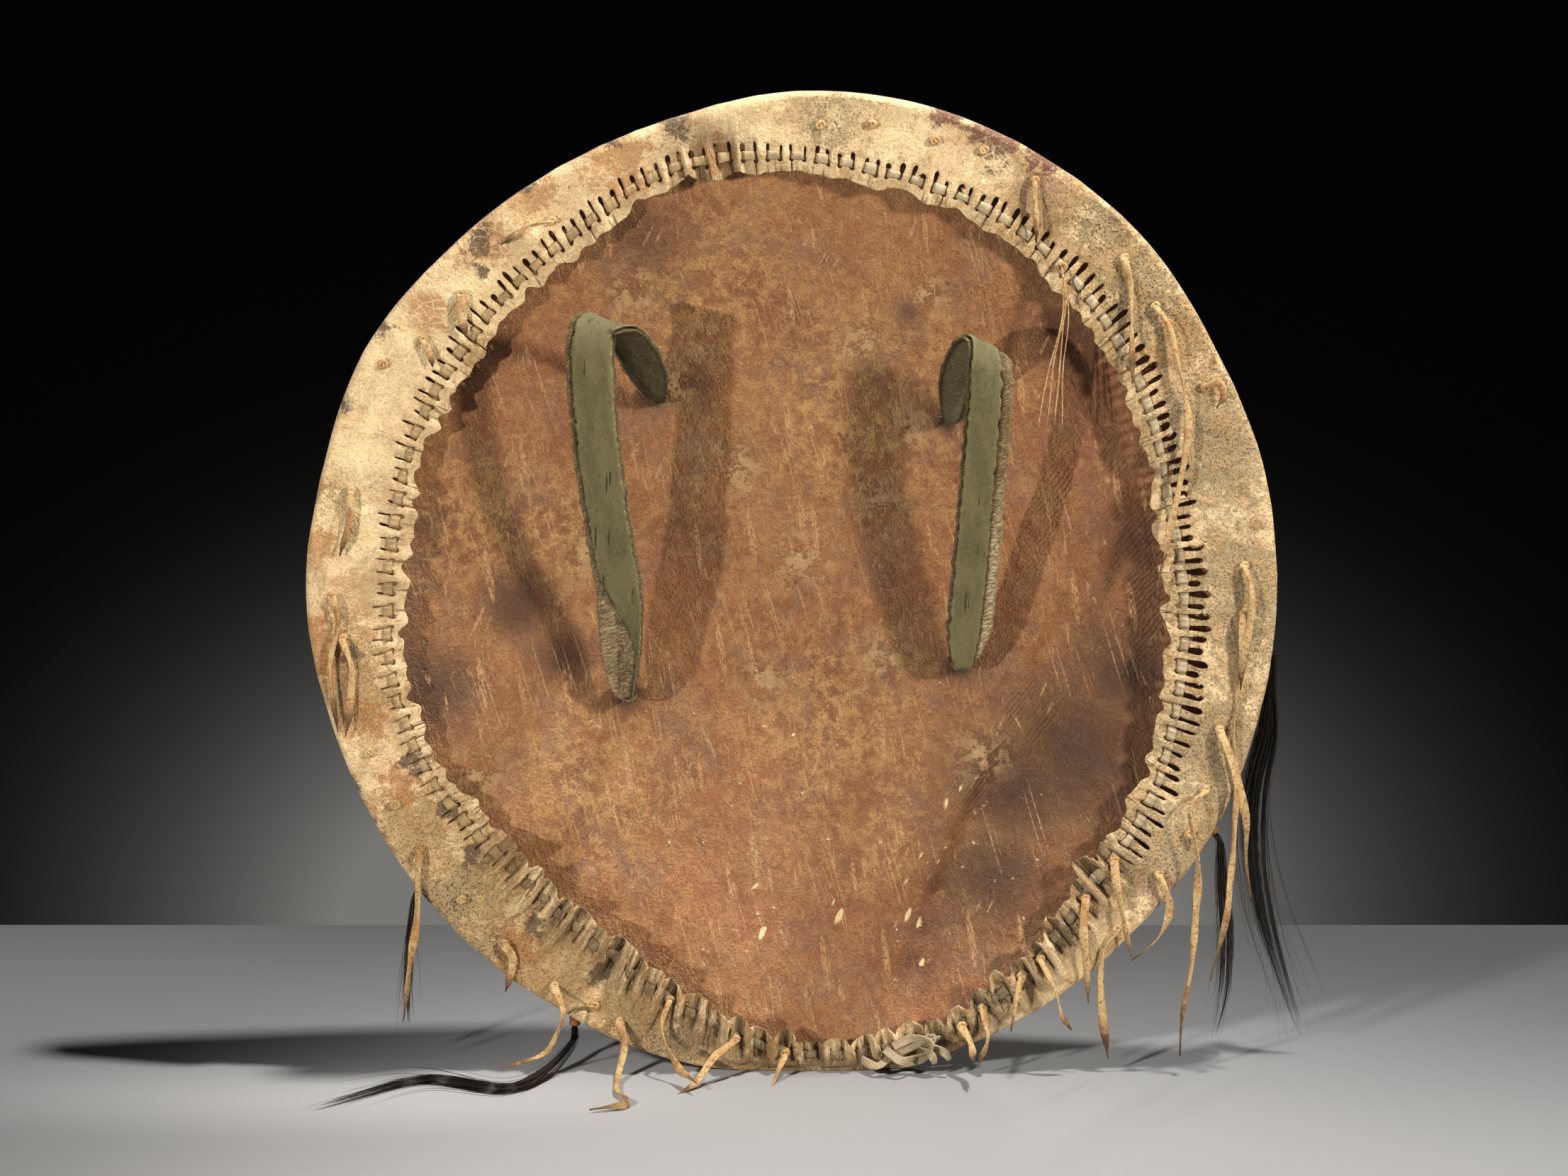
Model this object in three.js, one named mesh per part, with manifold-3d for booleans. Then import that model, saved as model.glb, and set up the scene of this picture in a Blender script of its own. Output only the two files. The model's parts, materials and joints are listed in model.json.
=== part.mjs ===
// Painted hide shield of the Plains kind, modelled from the side that its bearer sees.
// A thick dished rawhide disc wears a soft hide cover, which folds round the rim and is gathered
// behind it by one thong woven through pairs of slits. Two cloth-covered hide straps pass through
// slits in the disc, and many short hide ties and four locks of horsehair hang from the rim.
// Millimetres, +Z up, +X to the right as seen from the back, +Y towards the painted front.
// The origin is the middle of the disc's back face, where the forearm lies between the straps.
import * as THREE from "three";
import { mergeGeometries, mergeVertices } from "three/addons/utils/BufferGeometryUtils.js";
import Module from "manifold-3d";

const wasm = await Module();
wasm.setup();

// Outline and rawhide disc
const halfWidth = 254; // middle to the outside of the rim, sideways
const halfHeight = 258.5; // the same, upwards and downwards
const footWear = 1.5; // height that the rim has lost where the shield stands on it
const dishDepth = 32; // how far the rim lies behind the middle of the dish
const rawhideThickness = 7;
const rawhideRound = 1.6; // rounding of the disc's edge
const centreHoleRadius = 1.5;
const centreHolePlaceShares = [0.008, 0.002]; // of the half width and half height

// Cover
const coverThickness = 1.6;
const coverSlack = 5.6; // air between disc and cover in the middle of the front
const coverSeat = 0.8; // air that is left where the cover is drawn tight
const rimClearance = 1.6; // air round the edge of the disc
const flangeGap = 2.4; // air between the back of the rim and the turned-in flange
const flangeStart = 3.5; // width of the roll between the rim and the flange
const flangeDip = 3; // how far the free edge lies nearer the disc than the roll does
const gatherSwell = 5; // how far the gathered part of the flange stands out
const pleatHeight = 3.4;
const riseRun = 5; // width that a full pleat needs to come up

// Lacing
const stitches = 112;
const laceWidth = 5;
const laceThickness = 1.3;
const laceFromEdge = 9; // free edge to the middle of the thong
const laceGap = 0.4;
const slitWidth = 3.4;
const slitLength = 10; // beyond the thong's middle, towards the rim
const slitMargin = 1.2; // on the inner side of the thong
const bandMargin = 2; // cover left between a slit's end and the pleats' outer end
const cutOverrun = 2.5;
const holeSides = 4;

// Straps
const strapWidth = 25;
const strapEndWidth = 12.4; // pinched where the strap goes into its slit
const strapHideThickness = 3;
const strapClothThickness = 1.5;
const strapClothWidth = 21;
const strapHideEdge = 0.4; // hide that shows beside the cloth even at the pinched ends
const strapGap = 0.4; // between cloth and hide, and between a loop and its root
const axisHeight = 4; // the loop's turning axis above the disc
const rootRadius = 3.5; // rounded top of the strap's root
const rootShoulder = 1.4; // height of the root's shoulders above the disc
const rootSegments = 6;
const tabLength = 18; // end of the strap turned over on the disc's front
const tabThickness = 2.2;
const slitClearance = 0.4;
const strapNeck = 6; // straight part of a loop above its root
const strapSteps = 18;
const strapWidenSteps = 4; // steps in which a strap grows from its end's width to its full width

// Ties, knots and hair
const tieLength = 100; // the length that the ties' paths are given in
const tieWidth = 4.2;
const tieThickness = 1.4;
const tieTip = 1.2; // width of a tie at its dry, pointed tip
const leastTailSteps = 3;
const tieLift = 1.6; // air under a hanging tie
const stemSize = 1.8;
const stemHoleRadius = 1.9;
const knotSize = 4.6;
const knotThickness = 2;
const seatGap = 0.35;
const hairLength = 100; // the length that the hair's paths are given in
const hairSize = 7;
const hairTip = 1.2;
const bindingSize = 5.4;

// Outline of the rim and of the opening in the cover, as shares of the half sizes, every 15 degrees
// anticlockwise from the right-hand side.
const rimShares = [
  0.997, 0.9985, 0.996, 1.012, 1.016, 1.017, 1.008, 0.985, 0.98, 0.9845, 1, 0.992,
  0.9985, 0.988, 0.9855, 0.991, 0.993, 1.005, 1.0015, 1.013, 1.009, 1.001, 1.004, 0.9985,
];
const openingShares = [
  0.77, 0.76, 0.791, 0.816, 0.836, 0.835, 0.848, 0.857, 0.82, 0.802, 0.801, 0.793,
  0.794, 0.806, 0.797, 0.776, 0.795, 0.85, 0.918, 0.938, 0.893, 0.838, 0.821, 0.79,
];
const slitLengthShares = [1.4, 1.1, 0.95, 0.9, 0.8, 0.7, 0.8, 1.1]; // every 45 degrees
const knotStitchShare = 0.788; // where the thong's ends are knotted, of a whole turn
const knotReachShares = [-1.6, -0.8, 0, 0.8]; // the knot's own points, of the distance between slits
const knotCurlShares = [
  [0.05, 0.03, 0.03], [0.07, -0.03, 0.07], [0.02, -0.08, 0.08], [-0.05, -0.05, 0.07], [-0.12, -0.09, 0.1],
];
const gatherShares = [0.62, 0.865]; // where the gathers start and end, of a whole turn
const pleatShares = [0.9, -0.5, 0.6, -0.9, 1, -0.4, 0.3, -0.8, 0.8, -0.6, 1, -1, 0.5];
const plainStep = 5; // slits between two stations where the cover lies flat
const besideSlit = 0.5; // plain stations stand half a step past a slit
const laceLimitShare = 0.42; // the thong's place where the flange is narrow
const bandLimitShare = 0.7; // the most of the flange's width that the pleats take
const ringShares = [0.25, 0.5, 0.75, 0.93];
const discStations = 32;

const materials = {
  rawhide: new THREE.MeshStandardMaterial({ color: "#8d5c3c", roughness: 0.62, metalness: 0 }),
  cover: new THREE.MeshStandardMaterial({ color: "#cbb385", roughness: 0.85, metalness: 0 }),
  thong: new THREE.MeshStandardMaterial({ color: "#bfae8c", roughness: 0.8, metalness: 0 }),
  strapHide: new THREE.MeshStandardMaterial({ color: "#75583c", roughness: 0.8, metalness: 0 }),
  cloth: new THREE.MeshStandardMaterial({ color: "#68714c", roughness: 0.95, metalness: 0 }),
  tie: new THREE.MeshStandardMaterial({ color: "#c79f62", roughness: 0.75, metalness: 0 }),
  sinew: new THREE.MeshStandardMaterial({ color: "#d8c79a", roughness: 0.6, metalness: 0 }),
  hair: new THREE.MeshStandardMaterial({ color: "#1d1916", roughness: 0.5, metalness: 0 }),
  binding: new THREE.MeshStandardMaterial({ color: "#96602e", roughness: 0.75, metalness: 0 }),
};

const shield = new THREE.Group();

function addPiece(name, geometry, material) {
  const piece = new THREE.Mesh(geometry, material);
  piece.name = name;
  shield.add(piece);
  return piece;
}

// Closed surfaces

// A ring is a list of points that run anticlockwise as seen from the first ring. Its turns say how
// far round each point lies, so that rings with different numbers of points can be joined.
function ringOf(points, turns = points.map((_, i) => i / points.length)) {
  return { points, turns };
}

function bridge(index, lower, lowerStart, upper, upperStart, upperFirst) {
  const lowerCount = lower.points.length;
  const upperCount = upper.points.length;
  const lowerSteps = lowerCount > 1 ? lowerCount : 0;
  const upperSteps = upperCount > 1 ? upperCount : 0;
  const turnAfter = (ring, i) => (i + 1 < ring.turns.length ? ring.turns[i + 1] : 1 + ring.turns[0]);
  let i = 0;
  let j = 0;
  while (i < lowerSteps || j < upperSteps) {
    const fromLower = lowerStart + (i % lowerCount);
    const fromUpper = upperStart + (j % upperCount);
    const ahead = turnAfter(upper, j) - turnAfter(lower, i);
    const takeLower = j >= upperSteps || (i < lowerSteps && (upperFirst ? ahead > 0 : ahead >= 0));
    if (takeLower) {
      i += 1;
      index.push(fromLower, fromUpper, lowerStart + (i % lowerCount));
    } else {
      j += 1;
      index.push(fromLower, fromUpper, upperStart + (j % upperCount));
    }
  }
}

function closeEnd(index, ring, start, isFirst) {
  for (let i = 1; i + 1 < ring.points.length; i += 1) {
    if (isFirst) index.push(start, start + i, start + i + 1);
    else index.push(start, start + i + 1, start + i);
  }
}

// Where two rings match point for point, upperFirst turns the diagonals of the faces between them.
function loft(rings, upperFirst = false) {
  const index = [];
  const starts = [];
  const points = [];
  for (const ring of rings) {
    starts.push(points.length);
    points.push(...ring.points);
  }
  for (let r = 0; r + 1 < rings.length; r += 1) {
    bridge(index, rings[r], starts[r], rings[r + 1], starts[r + 1], upperFirst);
  }
  closeEnd(index, rings[0], starts[0], true);
  closeEnd(index, rings.at(-1), starts.at(-1), false);
  return new THREE.BufferGeometry().setFromPoints(points).setIndex(index);
}

// The corners of a flat section, as places across the strip and out of its face.
function slab(width, thickness, shift = 0) {
  const low = shift - thickness / 2;
  const high = shift + thickness / 2;
  return [[-width / 2, low], [width / 2, low], [width / 2, high], [-width / 2, high]];
}

// A strip along a path with a section for each of its points. Its width starts out along the
// given direction and turns only as the path makes it.
function strip(path, sections, across, upperFirst = false) {
  const width = across.clone();
  const rings = path.map((point, i) => {
    const before = path[Math.max(i - 1, 0)];
    const after = path[Math.min(i + 1, path.length - 1)];
    const along = new THREE.Vector3().subVectors(after, before).normalize();
    width.addScaledVector(along, -width.dot(along)).normalize();
    const face = new THREE.Vector3().crossVectors(width, along);
    const corner = ([side, out]) => point.clone().addScaledVector(width, side).addScaledVector(face, out);
    return ringOf(sections[i].map(corner));
  });
  return loft(rings, upperFirst);
}

function toSolid(geometry) {
  const bare = new THREE.BufferGeometry();
  bare.setAttribute("position", geometry.getAttribute("position").clone());
  bare.setIndex(geometry.getIndex());
  const merged = mergeVertices(bare);
  const vertProperties = new Float32Array(merged.getAttribute("position").array);
  const triVerts = new Uint32Array(merged.getIndex().array);
  return new wasm.Manifold(new wasm.Mesh({ numProp: 3, vertProperties, triVerts }));
}

function toGeometry(solid) {
  const mesh = solid.getMesh();
  const places = new THREE.BufferAttribute(new Float32Array(mesh.vertProperties), mesh.numProp);
  const corners = new THREE.BufferAttribute(new Uint32Array(mesh.triVerts), 1);
  return new THREE.BufferGeometry().setAttribute("position", places).setIndex(corners);
}

// The outline and the dish

const footDrop = halfHeight - footWear;

function outlineOf(shares) {
  const points = shares.map((share, i) => {
    const angle = (2 * Math.PI * i) / shares.length;
    const x = halfWidth * share * Math.cos(angle);
    const z = halfHeight * share * Math.sin(angle);
    return new THREE.Vector3(x, 0, z);
  });
  return new THREE.CatmullRomCurve3(points, true, "catmullrom");
}

const rim = outlineOf(rimShares);
const opening = outlineOf(openingShares);
const wrap = (turn) => turn - Math.floor(turn);

function around(shares, turn) {
  const place = wrap(turn) * shares.length;
  const before = Math.floor(place) % shares.length;
  const after = (before + 1) % shares.length;
  return THREE.MathUtils.lerp(shares[before], shares[after], place - Math.floor(place));
}

// The point that lies a given inset in from the rim, no lower than the foot and its lift.
function fromRim(turn, inset, y, lift = 0) {
  const point = rim.getPoint(wrap(turn));
  point.setLength(point.length() - inset);
  return new THREE.Vector3(point.x, y, Math.max(point.z, lift - footDrop));
}

const rimReach = (turn) => rim.getPoint(wrap(turn)).length();
const shareAt = (turn, inset) => 1 - inset / rimReach(turn);
const dishBack = (share) => -dishDepth * share * share;
const dishFront = (share) => dishBack(share) + rawhideThickness;
const slackAt = (share) => THREE.MathUtils.lerp(coverSlack, coverSeat, share * share);
const coverInside = (share) => dishFront(share) + slackAt(share);
const coverOutside = (share) => coverInside(share) + coverThickness;

function domeRing(share, height, count = discStations) {
  const turns = Array.from({ length: count }, (_, i) => i / count);
  return ringOf(turns.map((turn) => fromRim(turn, (1 - share) * rimReach(turn), height(share))), turns);
}

const middleOf = (height) => ringOf([new THREE.Vector3(0, height(0), 0)], [0]);

function rawhideBlank() {
  const edge = coverThickness + rimClearance;
  const turns = Array.from({ length: discStations }, (_, i) => i / discStations);
  const edgeRing = (inset, heightAt) => {
    const points = turns.map((turn) => fromRim(turn, inset, heightAt(turn), edge));
    return ringOf(points, turns);
  };
  const roundInset = edge + rawhideRound;
  const backRings = ringShares.map((share) => domeRing(share, dishBack));
  const frontRings = ringShares.map((share) => domeRing(share, dishFront)).reverse();
  return loft([
    middleOf(dishBack),
    ...backRings,
    edgeRing(roundInset, (turn) => dishBack(shareAt(turn, roundInset))),
    edgeRing(edge, () => dishBack(1) + rawhideRound),
    edgeRing(edge, () => dishFront(1) - rawhideRound),
    edgeRing(roundInset, (turn) => dishFront(shareAt(turn, roundInset))),
    ...frontRings,
    middleOf(dishFront),
  ]);
}

// The flange of the cover, in stations that each stand on a slit

const slits = 2 * stitches;
const [gatherStart, gatherEnd] = gatherShares;
const isGathered = (turn) => turn >= gatherStart && turn <= gatherEnd;
const flangeFace = dishBack(1) - flangeGap - coverThickness;
const barOf = (slit) => Math.ceil(slit / 2); // slits 2b-1 and 2b lie on both sides of bar b
const flangeWidth = (turn) => rimReach(turn) - opening.getPoint(wrap(turn)).length();
const longestSlit = slitLength * Math.max(...slitLengthShares);
const fullBand = laceFromEdge + longestSlit + bandMargin;
const bandAt = (turn) => Math.min(fullBand, bandLimitShare * flangeWidth(turn));
const laceAt = (turn) => Math.min(laceFromEdge, laceLimitShare * flangeWidth(turn));

function flangeStation(slit) {
  const turn = slit / slits;
  const width = flangeWidth(turn);
  const band = bandAt(turn);
  const room = Math.min(1, (width - band - flangeStart) / riseRun);
  const pleat = pleatHeight * pleatShares[barOf(slit) % pleatShares.length];
  const swell = gatherSwell * Math.sin((Math.PI * (turn - gatherStart)) / (gatherEnd - gatherStart));
  const rise = isGathered(turn) ? room * (pleat + swell) : 0;
  const run = (width - band - flangeStart) / (width - flangeStart);
  return {
    slit,
    turn,
    edge: fromRim(turn, width, flangeFace + flangeDip - rise),
    band: fromRim(turn, width - band, flangeFace + flangeDip * run - rise),
  };
}

const stations = [];
for (let slit = 0; slit < slits; slit += 1) {
  if (isGathered(slit / slits)) stations.push(flangeStation(slit));
  else if (slit % plainStep === 0) stations.push(flangeStation(slit + besideSlit));
}

// The point of the flange's outer face that lies a given distance outwards from the free edge.
function onFlange(slit, fromEdge) {
  const place = ((slit % slits) + slits) % slits;
  const nextIndex = stations.findIndex((station) => station.slit > place);
  const after = stations[Math.max(nextIndex, 0)];
  const before = stations.at(nextIndex < 0 ? -1 : nextIndex - 1);
  const span = (after.slit - before.slit + slits) % slits;
  const share = ((place - before.slit + slits) % slits) / span;
  const edge = before.edge.clone().lerp(after.edge, share);
  const band = before.band.clone().lerp(after.band, share);
  const width = Math.hypot(band.x - edge.x, band.z - edge.z);
  return edge.lerp(band, fromEdge / width);
}

// Slit numbers that a length along the thong's line takes up.
function slitsIn(slit, length) {
  const line = onFlange(slit, laceAt(slit / slits));
  const spacing = (2 * Math.PI * Math.hypot(line.x, line.z)) / slits;
  return length / spacing;
}

function coverBlank() {
  const turns = stations.map((station) => station.turn);
  const ringAt = (pointOf) => ringOf(stations.map(pointOf), turns);
  const inward = new THREE.Vector3(0, coverThickness, 0);
  const innerRoll = flangeStart + coverThickness / 2;
  const rimBack = dishBack(1) - coverSeat;
  const rimFront = dishFront(1) - coverSeat;
  const insideRings = ringShares.map((share) => domeRing(share, coverInside));
  const outsideRings = ringShares.map((share) => domeRing(share, coverOutside)).reverse();
  const rimRing = (inset, y) => ringAt(({ turn }) => fromRim(turn, inset, y, inset));
  return loft([
    middleOf(coverInside),
    ...insideRings,
    ringAt(({ turn }) => fromRim(turn, innerRoll, coverInside(shareAt(turn, innerRoll)), coverThickness)),
    rimRing(coverThickness, rimFront),
    rimRing(coverThickness, rimBack),
    ringAt(({ turn }) => fromRim(turn, innerRoll, flangeFace + coverThickness, coverThickness)),
    ringAt(({ band }) => band.clone().add(inward)),
    ringAt(({ edge }) => edge.clone().add(inward)),
    ringAt(({ edge }) => edge),
    ringAt(({ band }) => band),
    ringAt(({ turn }) => fromRim(turn, flangeStart, flangeFace)),
    rimRing(0, rimBack),
    rimRing(0, rimFront),
    ringAt(({ turn }) => fromRim(turn, flangeStart, coverOutside(shareAt(turn, flangeStart)))),
    ...outsideRings,
    middleOf(coverOutside),
  ]);
}

// Cutters

function prism(points, near, far) {
  const ringAt = (y) => ringOf(points.map((point) => new THREE.Vector3(point.x, y, point.z)));
  return loft([ringAt(near), ringAt(far)]);
}

function lacingSlit(slit) {
  const turn = slit / slits;
  const lace = laceAt(turn);
  const inner = lace - laceWidth / 2 - slitMargin;
  const outer = Math.min(lace + slitLength * around(slitLengthShares, turn), bandAt(turn) - bandMargin);
  const half = slitsIn(slit, slitWidth) / 2;
  const corners = [
    onFlange(slit - half, outer),
    onFlange(slit + half, outer),
    onFlange(slit + half, inner),
    onFlange(slit - half, inner),
  ];
  const heights = corners.map((corner) => corner.y);
  const near = Math.min(...heights) - cutOverrun;
  const far = Math.max(...heights) + coverThickness + cutOverrun;
  return prism(corners, near, far);
}

function holeAt(x, z, radius, near, far) {
  const corners = Array.from({ length: holeSides }, (_, i) => {
    const angle = (2 * Math.PI * i) / holeSides;
    return new THREE.Vector3(x + radius * Math.cos(angle), 0, z + radius * Math.sin(angle));
  });
  return prism(corners, near, far);
}

// A place to the right of, above and out from a point, in the given unit of length.
function offsetFrom(point, [right, up, out], unit) {
  return new THREE.Vector3(point.x + right * unit, point.y - out * unit, point.z + up * unit);
}

// The thong: over each bar between the two slits of a pair, then under the cover to the next bar.
// Its two ends meet at the gathers, under the knot that ties them.

const knotSlit = 2 * Math.round(knotStitchShare * stitches) + 1;

function lacePath() {
  const over = -laceGap - laceThickness / 2;
  const under = coverThickness + laceGap + laceThickness / 2;
  const rings = [];
  const addRing = (slit, lift) => {
    const middle = laceAt(wrap(slit / slits));
    const inner = onFlange(slit, middle - laceWidth / 2);
    const outer = onFlange(slit, middle + laceWidth / 2);
    const at = (point, side) => {
      const y = point.y + lift + (side * laceThickness) / 2;
      return new THREE.Vector3(point.x, y, point.z);
    };
    rings.push(ringOf([at(inner, -1), at(inner, 1), at(outer, 1), at(outer, -1)]));
  };
  for (let step = 0; step < slits; step += 1) {
    const slit = knotSlit + step;
    const half = slitsIn(slit, slitWidth) / 2;
    const goesUp = slit % 2 === 1;
    if (step > 0) addRing(slit - half, goesUp ? under : over);
    if (step < slits - 1) addRing(slit + half, goesUp ? over : under);
  }
  return rings;
}

// The knot lies over both ends of the thong, and its own ends curl down over the rim.
function lacingKnot() {
  const overLace = laceGap + laceThickness + 2 * seatGap + knotThickness / 2;
  const crossing = knotReachShares.map((step) => {
    const slit = knotSlit + step;
    const point = onFlange(slit, laceAt(slit / slits));
    point.y -= overLace;
    return point;
  });
  const last = crossing.at(-1);
  const curl = knotCurlShares.map((place) => offsetFrom(last, place, tieLength));
  const curve = new THREE.CatmullRomCurve3([last, ...curl]);
  const path = [...crossing, ...curve.getPoints(2 * curl.length).slice(1)];
  return strip(path, path.map(() => slab(laceWidth, knotThickness)), new THREE.Vector3(0, 0, -1));
}

// Straps

const strapPlans = {
  left: {
    lowerShares: [-0.346, -0.22], // slits, of the half width and half height
    upperShares: [-0.276, 0.398],
    stand: 58,
    // Along the line between the slits, out from it and to its side, as shares of the distance
    // between the slits, of the stand and of that distance.
    pathShares: [
      [0.2, 0.3, -0.029], [0.375, 0.49, -0.055], [0.588, 0.68, -0.11], [0.76, 0.82, -0.15],
      [0.948, 0.94, -0.188], [1.12, 1, -0.215], [1.215, 0.97, -0.215], [1.25, 0.83, -0.17],
      [1.2, 0.6, -0.11], [1.1, 0.4, -0.05],
    ],
  },
  right: {
    lowerShares: [0.354, -0.155],
    upperShares: [0.327, 0.352],
    stand: 47,
    pathShares: [
      [0.18, 0.34, 0.033], [0.454, 0.57, 0.07], [0.712, 0.78, 0.099], [0.97, 0.94, 0.128],
      [1.17, 1, 0.15], [1.29, 0.95, 0.145], [1.31, 0.78, 0.12], [1.24, 0.56, 0.08], [1.12, 0.38, 0.04],
    ],
  },
};

function strapFrame(plan) {
  const place = ([x, z]) => {
    const flat = new THREE.Vector3(x * halfWidth, 0, z * halfHeight);
    const turn = wrap(Math.atan2(z, x) / (2 * Math.PI));
    const share = flat.length() / rimReach(turn);
    flat.y = dishBack(share) - axisHeight;
    return flat;
  };
  const lower = place(plan.lowerShares);
  const upper = place(plan.upperShares);
  const along = new THREE.Vector3().subVectors(upper, lower);
  const reach = along.length();
  along.normalize();
  const out = new THREE.Vector3(0, -1, 0).addScaledVector(along, along.y).normalize();
  const side = new THREE.Vector3().crossVectors(along, out);
  return { lower, upper, along, out, side, reach };
}

function loopPath(plan, frame) {
  const start = rootRadius + strapGap;
  const raised = (base, height) => base.clone().addScaledVector(frame.out, height);
  const inner = plan.pathShares.map(([along, out, side]) =>
    frame.lower
      .clone()
      .addScaledVector(frame.along, along * frame.reach)
      .addScaledVector(frame.out, out * plan.stand)
      .addScaledVector(frame.side, side * frame.reach),
  );
  const bend = new THREE.CatmullRomCurve3([
    raised(frame.lower, start + strapNeck),
    ...inner,
    raised(frame.upper, start + strapNeck),
  ]);
  return [raised(frame.lower, start), ...bend.getSpacedPoints(strapSteps), raised(frame.upper, start)];
}

function strapLoop(name, plan, frame) {
  const path = loopPath(plan, frame);
  const widen = (i) => Math.min(1, Math.min(i, path.length - 1 - i) / strapWidenSteps);
  const hideShift = -(strapClothThickness + strapGap) / 2;
  const clothShift = (strapHideThickness + strapGap) / 2;
  const clothWidthAt = (i) => THREE.MathUtils.lerp(strapEndWidth, strapClothWidth, widen(i));
  const clothSections = path.map((_, i) => slab(clothWidthAt(i), strapClothThickness, clothShift));
  const hideSections = path.map((_, i) => {
    const width = THREE.MathUtils.lerp(strapEndWidth, strapWidth, widen(i)) + strapHideEdge;
    const [lowLeft, lowRight, highRight, highLeft] = slab(width, strapHideThickness, hideShift);
    const underCloth = [[clothWidthAt(i) / 2, highRight[1]], [-clothWidthAt(i) / 2, highRight[1]]];
    return [lowLeft, lowRight, highRight, ...underCloth, highLeft];
  });
  const hide = strip(path, hideSections, frame.side);
  const cloth = strip(path, clothSections, frame.side, true);
  addPiece(name + "_strap_hide", hide, materials.strapHide);
  addPiece(name + "_strap_cloth", cloth, materials.cloth);
}

// The frame at a slit: x to the strap's side, y into the shield and z along the line of the slits.
function slitFrame(frame, place) {
  const into = frame.out.clone().negate();
  const matrix = new THREE.Matrix4().makeBasis(frame.side, into, frame.along);
  return matrix.setPosition(place);
}

const strapThickness = strapHideThickness + strapGap + strapClothThickness;

function strapRoot(frame, place, tabSide) {
  const half = strapEndWidth / 2;
  const tabDepth = axisHeight + rawhideThickness + strapGap;
  const profile = new THREE.Shape();
  profile.moveTo(-half, tabDepth + tabThickness);
  profile.lineTo(-half, axisHeight - rootShoulder);
  profile.absarc(0, 0, rootRadius, Math.PI, 2 * Math.PI, false);
  profile.lineTo(half, axisHeight - rootShoulder);
  profile.lineTo(half, tabDepth + tabThickness);
  const stem = new THREE.ExtrudeGeometry(profile, {
    depth: strapThickness,
    bevelEnabled: false,
    curveSegments: rootSegments,
  });
  stem.translate(0, 0, -strapThickness / 2);
  const tab = new THREE.BoxGeometry(strapEndWidth, tabThickness, tabLength);
  const slope = tabSlope(frame, place);
  tab.translate(0, tabThickness / 2, (tabSide * (tabLength - strapThickness)) / 2);
  tab.rotateX(slope);
  tab.translate(0, tabDepth + strapThickness * Math.abs(Math.sin(slope)), 0);
  const joined = toSolid(stem).add(toSolid(tab));
  return toGeometry(joined).applyMatrix4(slitFrame(frame, place));
}

// How steeply the disc's front leans along the line of the slits.
function tabSlope(frame, place) {
  const heightAt = (distance) => {
    const point = place.clone().addScaledVector(frame.along, distance);
    const turn = wrap(Math.atan2(point.z / halfHeight, point.x / halfWidth) / (2 * Math.PI));
    const share = Math.hypot(point.x, point.z) / rimReach(turn);
    return dishFront(share) - frame.along.y * distance;
  };
  return -Math.atan2(heightAt(tabLength / 2) - heightAt(-tabLength / 2), tabLength);
}

function strapSlot(frame, place) {
  const depth = 2 * (rawhideThickness + axisHeight);
  const slot = new THREE.BoxGeometry(
    strapEndWidth + 2 * slitClearance,
    depth,
    strapThickness + 2 * slitClearance,
  );
  slot.translate(0, depth / 2, 0);
  return slot.applyMatrix4(slitFrame(frame, place));
}

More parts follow.
